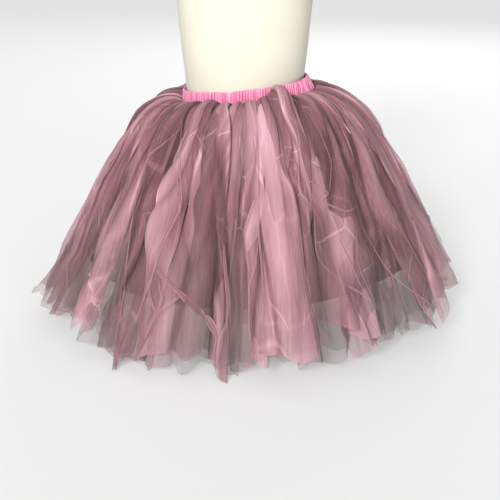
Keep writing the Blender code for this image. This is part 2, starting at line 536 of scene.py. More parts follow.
def cloth_tube(
    name: str, columns: int, rows: int, bias: float, place: Place, finish: bpy.types.Material
) -> bpy.types.Object:
    """Make a tube of cloth, closed at its seam.

    Args:
        name: The piece's name.
        columns: Faces round it.
        rows: Faces down it.
        bias: 1 spaces the rows evenly, and more packs them at the waist.
        place: Gives the cloth at places across and down it.
        finish: Its material.

    Returns:
        The piece.
    """
    mesh, across, down = cloth_grid(columns, rows)
    cloth = place(across, np.clip(down, 0.0, 1.0) ** bias)
    mesh.vertices.foreach_set("co", cloth.points.ravel())
    for label, values in cloth.marks.items():
        layer = mesh.attributes.new(label, "FLOAT", "POINT")
        layer.data.foreach_set("value", values.astype(np.float32))
    maker = bmesh.new()
    maker.from_mesh(mesh)
    bpy.data.meshes.remove(mesh)
    bmesh.ops.remove_doubles(maker, verts=maker.verts, dist=MERGE)
    return add_piece(name, maker, finish)


# ---------------------------------------------------------------- finishes


def srgb(colour: str) -> tuple[float, float, float, float]:
    """Return the linear colour of an sRGB hex value such as B08A93."""
    shares = [int(colour[place : place + 2], 16) / 255 for place in (0, 2, 4)]
    linear = [c / 12.92 if c <= 0.04045 else ((c + 0.055) / 1.055) ** 2.4 for c in shares]
    return (linear[0], linear[1], linear[2], 1.0)


def add_node(
    tree: bpy.types.NodeTree, kind: str, inputs: dict[Any, Any] | None = None, **settings: Any
) -> bpy.types.Node:
    """Add a node with its settings, its values and its links.

    Args:
        tree: The material's node tree.
        kind: The node's type, without its ShaderNode.
        inputs: For each socket, by name or number, its value or the socket that feeds it.
        **settings: The node's own settings.

    Returns:
        The node.
    """
    made = tree.nodes.new(f"ShaderNode{kind}")
    for name, value in settings.items():
        setattr(made, name, value)
    for name, value in (inputs or {}).items():
        if isinstance(value, bpy.types.NodeSocket):
            tree.links.new(value, made.inputs[name])
        else:
            made.inputs[name].default_value = value
    return made


def toned(
    tree: bpy.types.NodeTree, factor: bpy.types.NodeSocket, tones: dict[float, str]
) -> bpy.types.NodeSocket:
    """Return the socket of a colour that goes through some tones with a factor.

    Args:
        tree: The material's node tree.
        factor: The socket that chooses the tone.
        tones: For each place on the ramp, from 0 to 1, its hex value.

    Returns:
        The colour's socket.
    """
    ramp = add_node(tree, "ValToRGB", {"Fac": factor})
    stops = ramp.color_ramp.elements
    while len(stops) < len(tones):
        stops.new(1.0)
    for stop, (place, colour) in zip(stops, tones.items()):
        stop.position = place
        stop.color = srgb(colour)
    return ramp.outputs["Color"]


def added(
    tree: bpy.types.NodeTree,
    pattern: bpy.types.NodeSocket,
    values: Sequence[bpy.types.NodeSocket],
    strengths: Sequence[float],
) -> list[bpy.types.NodeSocket]:
    """Add a pattern to some values, to each with its own strength.

    Args:
        tree: The material's node tree.
        pattern: The pattern's socket.
        values: The values' sockets.
        strengths: How much of the pattern each of them gets.

    Returns:
        The sockets of the values with the pattern, kept from 0 to 1.
    """
    return [
        add_node(
            tree,
            "Math",
            {0: pattern, 1: strength, 2: value},
            operation="MULTIPLY_ADD",
            use_clamp=True,
        ).outputs[0]
        for value, strength in zip(values, strengths)
    ]


def new_finish(
    name: str, **values: Any
) -> tuple[bpy.types.Material, bpy.types.NodeTree, bpy.types.Node]:
    """Make a material.

    Args:
        name: Its name.
        **values: Values of the Principled shader's sockets, with _ for each space.

    Returns:
        The material, its node tree and its Principled shader.
    """
    made = bpy.data.materials.new(name)
    made.use_nodes = True
    shader = made.node_tree.nodes["Principled BSDF"]
    for socket, value in values.items():
        shader.inputs[socket.replace("_", " ")].default_value = value
    return made, made.node_tree, shader


@dataclass(frozen=True)
class FoldLines:
    """Thin painted lines where the net is creased, between long cells of the cloth.

    Attributes:
        across: The cells' size across the cloth.
        down: Their size down it.
        thickness: The lines' thickness.
        strength: How much lighter, as painted highlights, or if below 0 darker, as painted shade.
        mark: The mark that says where they are, or nothing for chance places.
        patches: How large the chance places are, against the cells: less is larger.
        felt: The range of chance from no line to a full one.
    """

    across: float
    down: float
    thickness: float
    strength: float
    mark: str = ""
    patches: float = 0.45
    felt: tuple[float, float] = (0.42, 0.58)


@dataclass(frozen=True)
class Streaks:
    """Streaks of lighter and darker net, down its length.

    Attributes:
        across: Their size across the cloth.
        down: Their size down it.
        strength: How much they change its tone.
    """

    across: float
    down: float
    strength: float


@dataclass(frozen=True)
class Tulle:
    """Nylon tulle: a fine net, sheer and greyish where single, pinker and denser in its folds.

    The net's holes are about 1 mm, too fine to show, so they are drawn 2.2 mm wide.

    Attributes:
        name: The material's name.
        width: The width of the cut strip.
        length: Its length.
        hole: The width of a hole.
        hole_edge: Where a hole is full, from 0 on a thread to 1 in its middle.
        covers: How much the net's cover is changed on a thread and in a hole.
        tones: Its sRGB hex tones, from painted shade in deep folds to painted highlight on ridges.
        stops: The values at those tones of its mark of tone and painted light.
        single: The sRGB hex value of its grey where it is single.
        single_ends: The gathered mark's value at which that grey ends.
        greyed: How grey it is where it is single.
        sheer: Its cover where it is single.
        dense: Its cover where it is gathered.
        ridge_cover: How much the mark of tone and painted light adds to its cover.
        line_cover: How much fold lines add to its cover, against their strength.
        streak_cover: How much streaks change its cover, against their strength.
        streaks: Its streaks.
        lines: Its fold lines of painted highlight and painted shade.
    """

    name: str = "nylon_tulle"
    width: float = 2.60
    length: float = 0.385
    hole: float = 0.0022
    hole_edge: float = 0.8
    covers: tuple[float, float] = (1.07, 0.95)
    # Painted shade in deep folds, the net's own pink, and painted highlight on ridges
    tones: tuple[str, str, str] = ("573A3E", "9F7077", "E6B4BF")
    stops: tuple[float, float, float] = (0.0, 0.32, 0.9)
    single: str = "8C8183"
    single_ends: float = 0.30
    greyed: float = 0.35
    sheer: float = 0.27
    dense: float = 0.66
    ridge_cover: float = 0.30
    line_cover: float = 0.35
    streak_cover: float = 0.5
    streaks: tuple[Streaks, ...] = (Streaks(0.005, 0.16, 0.30), Streaks(0.0014, 0.035, 0.34))
    lines: tuple[FoldLines, ...] = (
        # Painted highlights on creases, more where crushed, and painted shade in slits between
        # panels
        FoldLines(0.080, 0.300, 0.0008, 0.22),
        FoldLines(0.044, 0.110, 0.0006, 0.32, "crushed"),
        FoldLines(0.040, 0.900, 0.0016, -0.42),
    )

    def make(self) -> bpy.types.Material:
        """Return the material."""
        made, tree, shader = new_finish(
            self.name,
            Roughness=0.75,
            Specular_IOR_Level=0.15,
            Sheen_Weight=0.12,
            Sheen_Roughness=0.5,
        )
        uv = add_node(tree, "UVMap", uv_map="UVMap")
        net = self.threads_and_holes(tree, uv)
        gathered = add_node(tree, "Attribute", attribute_name="gathered")
        # The mark holds the net's random tone, painted shade in folds and painted highlight on
        # crests
        tone_and_painted_light = add_node(tree, "Attribute", attribute_name="tone_and_painted_light")
        closed = add_node(
            tree,
            "MapRange",
            {"Value": gathered.outputs["Fac"], "To Min": self.sheer, "To Max": self.dense},
        )
        folded = add_node(
            tree,
            "Math",
            {0: tone_and_painted_light.outputs["Fac"], 1: self.ridge_cover, 2: closed.outputs[0]},
            operation="MULTIPLY_ADD",
        )
        values = [tone_and_painted_light.outputs["Fac"], folded.outputs[0]]
        for lines in self.lines:
            values = self.creased(tree, uv, lines, values)
        for streaks in self.streaks:
            values = self.streaked(tree, uv, streaks, values)
        cover = add_node(
            tree, "Math", {0: values[1], 1: net}, operation="MULTIPLY", use_clamp=True
        )
        # Colour from painted shade in the folds to painted highlight on the crests
        tone = toned(tree, values[0], dict(zip(self.stops, self.tones)))
        lowest = add_node(
            tree,
            "MapRange",
            {
                "Value": gathered.outputs["Fac"],
                "From Max": self.single_ends,
                "To Min": self.greyed,
                "To Max": 0.0,
            },
        )
        greyer = add_node(
            tree,
            "Mix",
            {"Factor": lowest.outputs[0], "A": tone, "B": srgb(self.single)},
            data_type="RGBA",
        )
        tree.links.new(greyer.outputs["Result"], shader.inputs["Base Color"])
        tree.links.new(cover.outputs[0], shader.inputs["Alpha"])
        return made

    def on_cloth(
        self, tree: bpy.types.NodeTree, uv: bpy.types.Node, across: float, down: float
    ) -> bpy.types.NodeSocket:
        """Return coordinates in which a pattern's cells have a real size.

        Args:
            tree: The material's node tree.
            uv: The node of the cloth's UV map.
            across: The cells' size across the cloth.
            down: Their size down it.

        Returns:
            The coordinates' socket.
        """
        scale = (self.width / across, self.length / down, 1.0)
        mapping = add_node(tree, "Mapping", {"Vector": uv.outputs["UV"], "Scale": scale})
        return mapping.outputs["Vector"]

    def threads_and_holes(
        self, tree: bpy.types.NodeTree, uv: bpy.types.Node
    ) -> bpy.types.NodeSocket:
        """Return the socket of how much the threads and holes change the net's cover."""
        half_turn = self.hole / math.pi
        axes = add_node(
            tree, "SeparateXYZ", {"Vector": self.on_cloth(tree, uv, half_turn, half_turn)}
        )
        waves = []
        for operation in ("ADD", "SUBTRACT"):
            bias = add_node(
                tree, "Math", {0: axes.outputs["X"], 1: axes.outputs["Y"]}, operation=operation
            )
            wave = add_node(tree, "Math", {0: bias.outputs[0]}, operation="SINE")
            waves.append(wave.outputs[0])
        cells = add_node(tree, "Math", dict(enumerate(waves)), operation="MULTIPLY")
        holes = add_node(tree, "Math", {0: cells.outputs[0]}, operation="ABSOLUTE")
        on_thread, in_hole = self.covers
        net = add_node(
            tree,
            "MapRange",
            {
                "Value": holes.outputs[0],
                "From Max": self.hole_edge,
                "To Min": on_thread,
                "To Max": in_hole,
            },
        )
        return net.outputs[0]

    def streaked(
        self,
        tree: bpy.types.NodeTree,
        uv: bpy.types.Node,
        streaks: Streaks,
        values: list[bpy.types.NodeSocket],
    ) -> list[bpy.types.NodeSocket]:
        """Add some streaks.

        Args:
            tree: The material's node tree.
            uv: The node of the cloth's UV map.
            streaks: The streaks.
            values: The sockets of the tone and of the net's cover so far.

        Returns:
            The sockets of both with the streaks.
        """
        place = self.on_cloth(tree, uv, streaks.across, streaks.down)
        streak = add_node(tree, "TexNoise", {"Vector": place, "Scale": 1.0, "Detail": 3.0})
        even = add_node(tree, "Math", {0: streak.outputs["Fac"], 1: 0.5}, operation="SUBTRACT")
        strengths = (streaks.strength, self.streak_cover * streaks.strength)
        return added(tree, even.outputs[0], values, strengths)

    def creased(
        self,
        tree: bpy.types.NodeTree,
        uv: bpy.types.Node,
        lines: FoldLines,
        values: list[bpy.types.NodeSocket],
    ) -> list[bpy.types.NodeSocket]:
        """Add some fold lines of painted highlight or painted shade.

        Args:
            tree: The material's node tree.
            uv: The node of the cloth's UV map.
            lines: The lines.
            values: The sockets of the tone and of the net's cover so far.

        Returns:
            The sockets of both with the lines.
        """
        place = self.on_cloth(tree, uv, lines.across, lines.down)
        edges = add_node(
            tree, "TexVoronoi", {"Vector": place, "Scale": 1.0}, feature="DISTANCE_TO_EDGE"
        )
        line = add_node(
            tree,
            "MapRange",
            {
                "Value": edges.outputs["Distance"],
                "From Max": lines.thickness / lines.across,
                "To Min": 1.0,
                "To Max": 0.0,
            },
        )
        if lines.mark:
            where = add_node(tree, "Attribute", attribute_name=lines.mark).outputs["Fac"]
        else:
            none, full = lines.felt
            spread = add_node(
                tree, "TexNoise", {"Vector": place, "Scale": lines.patches, "Detail": 1.0}
            )
            where = add_node(
                tree,
                "MapRange",
                {"Value": spread.outputs["Fac"], "From Min": none, "From Max": full},
            ).outputs[0]
        shown = add_node(tree, "Math", {0: line.outputs[0], 1: where}, operation="MULTIPLY")
        strengths = (lines.strength, self.line_cover * abs(lines.strength))
        return added(tree, shown.outputs[0], values, strengths)


@dataclass(frozen=True)
class PlainWeave:
    """Polyester lining: a closed plain weave, matt, a little lighter along its threads.

    Its threads lie about 0.3 mm apart, too fine to show, so they are drawn 1.4 mm apart.
    """

    name: str = "woven_polyester_lining"
    spacing: float = 0.0014
    cloud: float = 1 / 14  # the size of its faint clouds of tone
    low: str = "7E5A5F"
    high: str = "9A7278"

    def make(self) -> bpy.types.Material:
        """Return the material."""
        made, tree, shader = new_finish(self.name, Roughness=0.8, Sheen_Weight=0.15)
        place = add_node(tree, "TexCoord").outputs["Object"]
        threads = add_node(
            tree,
            "TexNoise",
            {"Vector": place, "Scale": 1 / self.spacing, "Detail": 1.0},
        )
        clouds = add_node(
            tree, "TexNoise", {"Vector": place, "Scale": 1 / self.cloud, "Detail": 2.0}
        )
        mixed = add_node(
            tree,
            "Math",
            {0: threads.outputs["Fac"], 1: 0.5, 2: clouds.outputs["Fac"]},
            operation="MULTIPLY_ADD",
        )
        spread = add_node(
            tree, "MapRange", {"Value": mixed.outputs[0], "From Min": 0.5, "From Max": 1.0}
        )
        tone = toned(tree, spread.outputs[0], {0.0: self.low, 1.0: self.high})
        bump = add_node(
            tree,
            "Bump",
            {"Height": threads.outputs["Fac"], "Strength": 0.25, "Distance": 0.0006},
        )
        tree.links.new(tone, shader.inputs["Base Color"])
        tree.links.new(bump.outputs["Normal"], shader.inputs["Normal"])
        return made


@dataclass(frozen=True)
class Satin:
    """Polyester satin: smooth long floats that shine across the gathers.

    Its floats are well under 1 mm long, too fine to show, so they are drawn about 1.1 mm long.
    """

    name: str = "polyester_satin"
    float_length: float = 1 / 900
    # Painted shade in the gathers' hollows and painted highlight on their crests and creases
    low: str = "D9608F"
    high: str = "FBA9CB"

    def make(self) -> bpy.types.Material:
        """Return the material."""
        made, tree, shader = new_finish(
            self.name, Roughness=0.38, Anisotropic=0.4, Sheen_Weight=0.35, Sheen_Roughness=0.35
        )
        tone_and_painted_light = add_node(tree, "Attribute", attribute_name="tone_and_painted_light")
        place = add_node(tree, "TexCoord").outputs["Object"]
        floats = add_node(
            tree, "TexNoise", {"Vector": place, "Scale": 1 / self.float_length, "Detail": 1.0}
        )
        # Tone from painted shade in the hollows to painted highlight on the crests
        tone = toned(tree, tone_and_painted_light.outputs["Fac"], {0.0: self.low, 1.0: self.high})
        bump = add_node(
            tree, "Bump", {"Height": floats.outputs["Fac"], "Strength": 0.15, "Distance": 0.0003}
        )
        tree.links.new(tone, shader.inputs["Base Color"])
        tree.links.new(bump.outputs["Normal"], shader.inputs["Normal"])
        return made


@dataclass(frozen=True)
class MouldedPlastic:
    """Moulded glass-fibre form with an ivory gloss coat, and the faint waves of its mould."""

    name: str = "gloss_ivory_form"
    wave: float = 1 / 9  # the length of the mould's faint waves
    low: str = "D5D2BF"
    high: str = "DFDDCC"

    def make(self) -> bpy.types.Material:
        """Return the material."""
        made, tree, shader = new_finish(
            self.name, Roughness=0.40, Specular_IOR_Level=0.15, Coat_Weight=0.05, Coat_Roughness=0.2
        )
        place = add_node(tree, "TexCoord").outputs["Object"]
        waves = add_node(tree, "TexNoise", {"Vector": place, "Scale": 1 / self.wave, "Detail": 1.0})
        tone = toned(tree, waves.outputs["Fac"], {0.0: self.low, 1.0: self.high})
        bump = add_node(
            tree, "Bump", {"Height": waves.outputs["Fac"], "Strength": 0.06, "Distance": 0.004}
        )
        tree.links.new(tone, shader.inputs["Base Color"])
        tree.links.new(bump.outputs["Normal"], shader.inputs["Normal"])
        return made


@dataclass(frozen=True)
class SewingThread:
    """Spun polyester thread, matt, twisted from two plies.

    Its plies are drawn as coarse as its stitches, at about twice their real size.
    """

    name: str
    colour: str
    ply: float = 1 / 1500

    def make(self) -> bpy.types.Material:
        """Return the material."""
        made, tree, shader = new_finish(self.name, Roughness=0.7, Sheen_Weight=0.3)
        place = add_node(tree, "TexCoord").outputs["Object"]
        plies = add_node(tree, "TexNoise", {"Vector": place, "Scale": 1 / self.ply})
        bump = add_node(
            tree, "Bump", {"Height": plies.outputs["Fac"], "Strength": 0.3, "Distance": 0.0002}
        )
        shader.inputs["Base Color"].default_value = srgb(self.colour)
        tree.links.new(bump.outputs["Normal"], shader.inputs["Normal"])
        return made


@dataclass(frozen=True)
class StudioPaper:
    """Matt white background paper, lit from below where the lamps don't reach.

    Its fibres are far too fine to show, so they are drawn about 3 mm apart.

    Attributes:
        name: The material's name.
        colour: Its sRGB hex value.
        fibre: The distance between its fibres.
        glow: The most strength of the light from below.
        front: The spot under the lamps, where it has no strength.
        spread: The distance from there over which its strength rises.
    """

    name: str = "background_paper"
    colour: str = "D2D2D2"
    fibre: float = 1 / 300
    glow: float = 0.58
    front: tuple[float, float, float] = (0.0, -1.2, 0.0)
    spread: float = 1.4

    def make(self) -> bpy.types.Material:
        """Return the material."""
        made, tree, shader = new_finish(self.name, Roughness=0.95, Specular_IOR_Level=0.1)
        place = add_node(tree, "TexCoord").outputs["Object"]
        fibres = add_node(tree, "TexNoise", {"Vector": place, "Scale": 1 / self.fibre})
        bump = add_node(
            tree, "Bump", {"Height": fibres.outputs["Fac"], "Strength": 0.02, "Distance": 0.001}
        )
        away = add_node(tree, "VectorMath", {0: place, 1: self.front}, operation="DISTANCE")
        power = add_node(
            tree,
            "Math",
            {0: away.outputs["Value"], 1: -1.0 / self.spread},
            operation="MULTIPLY",
        )
        fade = add_node(tree, "Math", {0: power.outputs[0]}, operation="EXPONENT")
        glow = add_node(
            tree,
            "Math",
            {0: fade.outputs[0], 1: -self.glow, 2: self.glow},
            operation="MULTIPLY_ADD",
        )
        shader.inputs["Base Color"].default_value = srgb(self.colour)
        shader.inputs["Emission Color"].default_value = (1.0, 1.0, 1.0, 1.0)
        tree.links.new(glow.outputs[0], shader.inputs["Emission Strength"])
        tree.links.new(bump.outputs["Normal"], shader.inputs["Normal"])
        return made


# ---------------------------------------------------------------- the skirt


class Node(Enum):
    """The solids that the pieces stand for."""

    FORM = "dress_form"
    CASING = "waist_casing"
    OUTER = "tulle_outer"
    MIDDLE = "tulle_middle"
    INNER = "tulle_inner"
    LINING = "lining"


GATHERS = 36  # of tulle round the waist, the same for its three layers
SPACING = (Ripple(3, 0.0045, 0.6), Ripple(7, 0.0022, 2.1), Ripple(11, 0.0012, 4.0))
GATHERING = (Ripple(2, 0.12, 1.0), Ripple(5, 0.08, 3.1))
DEPTHS = (Ripple(5, 0.18, 1.3), Ripple(8, 0.16, 3.9), Ripple(13, 0.10, 0.2))
DRIFTS = (Ripple(2, 0.028, 0.4), Ripple(5, 0.022, 2.7))
HEM_SHIFT = 0.07  # how far round the waist a layer's hem ripples move for a phase of 1
PLEAT_WANDER = 0.9  # how far the pleats wander, in radians
WANDER = Rumple(11, (2, 12), (0.2, 1.4))  # the same for the three layers, so that they nest
SEAM_OUT = 0.0036  # how far outside the casing's line the tulle is sewn on
SEAM_RISE = 0.0020  # how far over the casing's lower edge
STITCHED_CASING = 0.853  # share of the way round the casing's section at which it is stitched
STITCHED_HEM = 0.962  # share of the way down the lining at which its hem is stitched
HEMS = (Ripple(4, 0.45, 2.2), Ripple(9, 0.35, 0.9), Ripple(17, 0.30, 5.1))
DIPS = (
    Dip(-90, 0.008, 24),
    Dip(-60, -0.008, 6),
    Dip(-36, 0.024, 9),
    Dip(-6, 0.023, 6),
    Dip(40, 0.010, 5),
    Dip(90, -0.010, 26),
    Dip(125, 0.010, 8),
    Dip(158, 0.015, 6),
    Dip(-140, 0.014, 7),
    Dip(-172, 0.008, 6),
)


def pleat_turn(across: Array) -> Array:
    """Return the phase of the pleats at places round the cloth, before they wander."""
    return TAU * (GATHERS * across + ripple(GATHERING, across))


@dataclass(frozen=True)
class FinePleats:
    """The finer pleats that the gathers are drawn up in.

    Attributes:
        count: How many there are round the waist.
        height: Their height at the waist.
        growth: How much higher they are where they are fullest.
        fullest: Share of the way down at which they are fullest.
        fade: The share of their growth that they lose on the way down to the hem.
        uneven: How much their height differs.
        least: The least that it may be, as a share of the mean.
        most: The most that it may be.
        wander: How far they wander together, in radians.
        stray: How far a layer's own ones stray, in radians.
        course: The field by which they wander.
    """

    count: int = 101
    height: float = 0.0013
    growth: float = 0.0020
    fullest: float = 0.25
    fade: float = 0.75
    uneven: float = 0.6
    least: float = 0.15
    most: float = 2.0
    wander: float = 1.7
    stray: float = 1.5
    course: Rumple = Rumple(31, (4, 24), (0.3, 1.8))

    def at(self, across: Array, share: Array, own: Array) -> tuple[Array, Array]:
        """Return their phase and their height.

        Args:
            across: Places round the cloth, from 0 to 1.
            share: Shares of the way down it.
            own: The layer's own field there.

        Returns:
            The phase in radians, and the height.
        """
        drift = self.course.at(across, share)
        turn = TAU * self.count * across + self.wander * drift + self.stray * own * share
        grown = self.growth * settle(0.0, self.fullest, share)
        size = self.height + grown * (1.0 - self.fade * share)
        return turn, size * np.clip(1.0 + self.uneven * own * share, self.least, self.most)


@dataclass(frozen=True)
class NetTone:
    """What the parts of the net's folds add to its mark of tone and painted light, from 0 for dark
    to 1 for pale.

    Attributes:
        plain: The mark of flat net at the waist.
        hem: What the hem adds.
        panels: What the widest panels add.
        pleats: What the pleats add: painted highlight on their crests, painted shade in troughs.
        fine: What the finer pleats add at the waist, painted the same way.
        fine_fade: How much less they add at the hem.
        tucks: What the edges of tucks add, as painted highlights.
        facets: What the edges of crumpled facets add, as painted highlights.
        depth: How much painted shade each metre of a deep fold takes off.
    """

    plain: float = 0.27
    hem: float = 0.05
    panels: float = 0.14
    pleats: float = 0.10
    fine: float = 0.11
    fine_fade: float = 0.06
    tucks: float = 0.34
    facets: float = 0.20
    depth: float = 11.0


@dataclass(frozen=True)
class TulleLayer:
    """One layer of tulle, gathered at the waist.

    Attributes:
        node: The solid that it stands for.
        waist: The waist that it hangs from.
        length: Its length down the cloth.
        inset_top: How far inside the outer layer it starts.
        inset_hem: How far inside it ends.
        wave_top: The height of its pleats at the waist.
        wave_hem: Their height at the hem.
        hem_wave: How uneven its hem is.
        phase: Where its hem's waves start.
        seed: Sets its chance folds.
        hem_drop: How much lower its hem hangs than its solid's.
        tucks: The flat folds placed one by one.
        crushed: Where it is crushed.
        doubled_or_shaded: Where it lies folded double and lighter, or carries painted shade where
            its strength is below 0.
        thin: Where it lies single, and so looks greyer and sheerer.
        bunches: Where it stands up over the casing.
        full: How closely its fullest panels lie at the hem, from 0 to 1.
        ragged: How far its pleats' edges point down at the hem.
        zigzag: How far its finer points do, against that.
        uneven: How much its panels differ in length.
        stray: How far its own pleats stray, in radians.
        swell: How much its pleats differ in height.
        facet_height: How far its crumpled facets stand out.
        roll: How far its pleats roll over sideways, against their height.
        fine_roll: How far its finer pleats do.
        puff: How far it puffs up over the seam.
        gathers_end: Share of the way down at which its gathers have opened.
        doubled_cover: How closely it lies where it is folded double, for a strength of 1.
        thinned: How much of its cover it loses where it is thin.
        width: The width of its cut strip; not used.
        columns: Faces round it.
        rows: Faces down it.
        bias: How much closer its rows lie at the waist.
        fine: Its finer pleats.
        tone: The tones of its folds, with their painted shade and highlights.
        chance_tucks: Its flat folds that aren't placed by hand.
        drape: How it hangs.
    """

    node: Node
    waist: Waist
    length: float
    inset_top: float
    inset_hem: float
    wave_top: float
    wave_hem: float
    hem_wave: float
    phase: float
    seed: int
    hem_drop: float = 0.0
    tucks: tuple[Tuck, ...] = ()
    crushed: tuple[Zone, ...] = ()
    doubled_or_shaded: tuple[Zone, ...] = ()
    thin: tuple[Zone, ...] = ()
    bunches: tuple[Dip, ...] = ()
    full: float = 0.28
    ragged: float = 0.0085
    zigzag: float = 0.6
    uneven: float = 0.0060
    stray: float = 0.5
    swell: float = 0.30
    facet_height: float = 0.0034
    roll: float = 0.5
    fine_roll: float = 0.9
    puff: float = 0.0012
    gathers_end: float = 0.85
    doubled_cover: float = 2.0
    thinned: float = 0.85
    width: float = 2.60
    columns: int = 1020
    rows: int = 96
    bias: float = 1.35
    fine: FinePleats = FinePleats()
    tone: NetTone = NetTone()
    chance_tucks: ChanceTucks = ChanceTucks()
    drape: Drape = Drape(Slope(-32, 60, 0.038), Slope(-6, 62.5, 0.057), Slope(-46, 67, 0.036))

    def hem_length(self, across: Array, angle: Array, tucks: Sequence[Tuck]) -> Array:
        """Return the length of the cloth, which is uneven and ends in points.

        Args:
            across: Places round the cloth, from 0 to 1.
            angle: The angles there.
            tucks: The layer's flat folds.

        Returns:
            The length at each place.
        """
        hem = np.ones_like(across)
        length = self.length + self.hem_wave * ripple(HEMS, across + HEM_SHIFT * self.phase)
        length += sum(dip.extra * near(angle, dip.bearing, dip.half_width) for dip in DIPS)
        raised = Rumple(self.seed + 1, (3, 16), (0.0, 0.2)).at(across, 0.0 * hem)
        length += self.hem_drop + self.uneven * raised
        turn = pleat_turn(across)
        turn += PLEAT_WANDER * WANDER.at(across, hem) + self.phase
        points = Rumple(self.seed + 4, (20, 60), (0.0, 0.2), 9).at(across, hem)
        length += self.ragged * (pressed(turn) + self.zigzag * np.abs(points))
        return length + sum(tuck.point(angle) for tuck in tucks)

    def crumpled(self, angle: Array, across: Array, share: Array) -> Array:
        """Return how crumpled the net is at each place, from 0 to 1."""
        patches = settle(0.1, 1.1, Rumple(self.seed + 5, (2, 9), (0.5, 2.5)).at(across, share))
        for zone in self.crushed:
            patches = np.maximum(patches, zone.felt(angle, share))
        return patches * settle(0.06, 0.25, share)

    def lapped(
        self, tucks: Sequence[Tuck], angle: Array, share: Array
    ) -> tuple[Array, Array, Array]:
        """Return the sideways shift, the lift and the edges that the flat folds make."""
        shift, lift, edges = np.zeros_like(share), np.zeros_like(share), np.zeros_like(share)
        for tuck in tucks:
            moved, raised, edge = tuck.lap(angle, share)
            shift, lift = shift + moved, lift + raised
            edges = np.maximum(edges, edge)
        return shift, lift, edges

    def seam(self, across: Array, angle: Array) -> Array:
        """Return the height of the seam, which the net puffs and bunches up over."""
        puff = Rumple(self.seed + 8, (8, 40), (0.0, 0.2)).at(across, np.zeros_like(across))
        height = self.waist.casing_top - self.waist.casing_height + SEAM_RISE
        height = height + self.puff * puff
        for bunch in self.bunches:
            height = height + bunch.extra * near(angle, bunch.bearing, bunch.half_width)
        return height

    def cover(self, angle: Array, share: Array, panels: Array) -> Array:
        """Return how closely the net lies at each place, from 0 to 1."""
        gathered = 1.0 - settle(0.0, self.gathers_end, share)
        gathered = np.maximum(gathered, self.full * settle(-0.3, 1.0, panels))
        for zone in self.doubled_or_shaded:
            felt = zone.strength * zone.felt(angle, share)
            gathered = np.maximum(gathered, self.doubled_cover * felt)
        for zone in self.thin:
            gathered = gathered * (1.0 - self.thinned * zone.felt(angle, share))
        return gathered

    def cloth(self, across: Array, share: Array) -> Cloth:
        """Return the layer's points and their marks.

        Args:
            across: Places round the cloth, from 0 to 1.
            share: Shares of the way down it.

        Returns:
            The cloth there.
        """
        angle = TAU * (across + ripple(SPACING, across))
        tucks = self.tucks + self.chance_tucks.draw(self.seed + 7)
        length = self.hem_length(across, angle, tucks)
        angle += ripple(DRIFTS, across) * share
        along = length * share

        own = Rumple(self.seed + 2, (3, 16), (0.4, 2.0)).at(across, share)
        turn = pleat_turn(across)
        turn += PLEAT_WANDER * WANDER.at(across, share) * share**0.5 + self.stray * own * share
        pleat = pressed(turn)
        swell = 1.0 + ripple(DEPTHS, across) + self.swell * own * share
        wave = blend(self.wave_top, self.wave_hem * swell, share**GROWTH)
        fine_turn, fine_size = self.fine.at(across, share, own)
        fine = pressed(fine_turn)
        patches = self.crumpled(angle, across, share)
        facets, facet_edges = Crumple(self.seed + 6).at(across, share)
        shift, laps, lap_edges = self.lapped(tucks, angle, share)

        lift = wave * pleat + fine_size * fine + self.facet_height * patches * facets + laps
        lift -= blend(self.inset_top, self.inset_hem, share)
        lift -= self.waist.fold_depth(angle, along)
        sideways = self.roll * wave * np.sin(turn)
        sideways = sideways + self.fine_roll * fine_size * np.sin(fine_turn) + shift
        angle = angle + sideways / reach(share)
        seam = self.seam(across, angle)
        points = self.waist.place(self.drape, angle, along, lift, SEAM_OUT, seam)

        tone = self.tone
        panels = Rumple(self.seed + 9, (5, 26), (0.1, 0.5)).at(across, share)
        # Random tone, lighter to the hem; painted highlight on pleat crests, painted shade in
        # troughs
        tone_and_painted_light = tone.plain + tone.hem * share + tone.panels * panels + tone.pleats * pleat
        tone_and_painted_light += (tone.fine - tone.fine_fade * share) * fine
        # Painted highlights along the edges of tucks and crumpled facets
        tone_and_painted_light += tone.tucks * lap_edges + tone.facets * facet_edges * patches
        # Painted shade in the deep folds
        tone_and_painted_light -= tone.depth * self.waist.fold_depth(angle, along)
        # Lighter where the net lies folded double; painted shade where a zone's strength is below 0
        for zone in self.doubled_or_shaded:
            tone_and_painted_light += zone.strength * zone.felt(angle, share)
        marks = {
            "tone_and_painted_light": np.clip(tone_and_painted_light, 0.0, 1.0),
            "gathered": self.cover(angle, share, panels),
            "crushed": patches,
        }
        return Cloth(points, marks)

    def build(
        self, finish: bpy.types.Material, loose: Sequence[bpy.types.Object] = ()
    ) -> bpy.types.Object:
        name = self.node.value
        piece = cloth_tube(f"{name}_net", self.columns, self.rows, self.bias, self.cloth, finish)
        dress(piece, "tulle", self.node)
        return piece


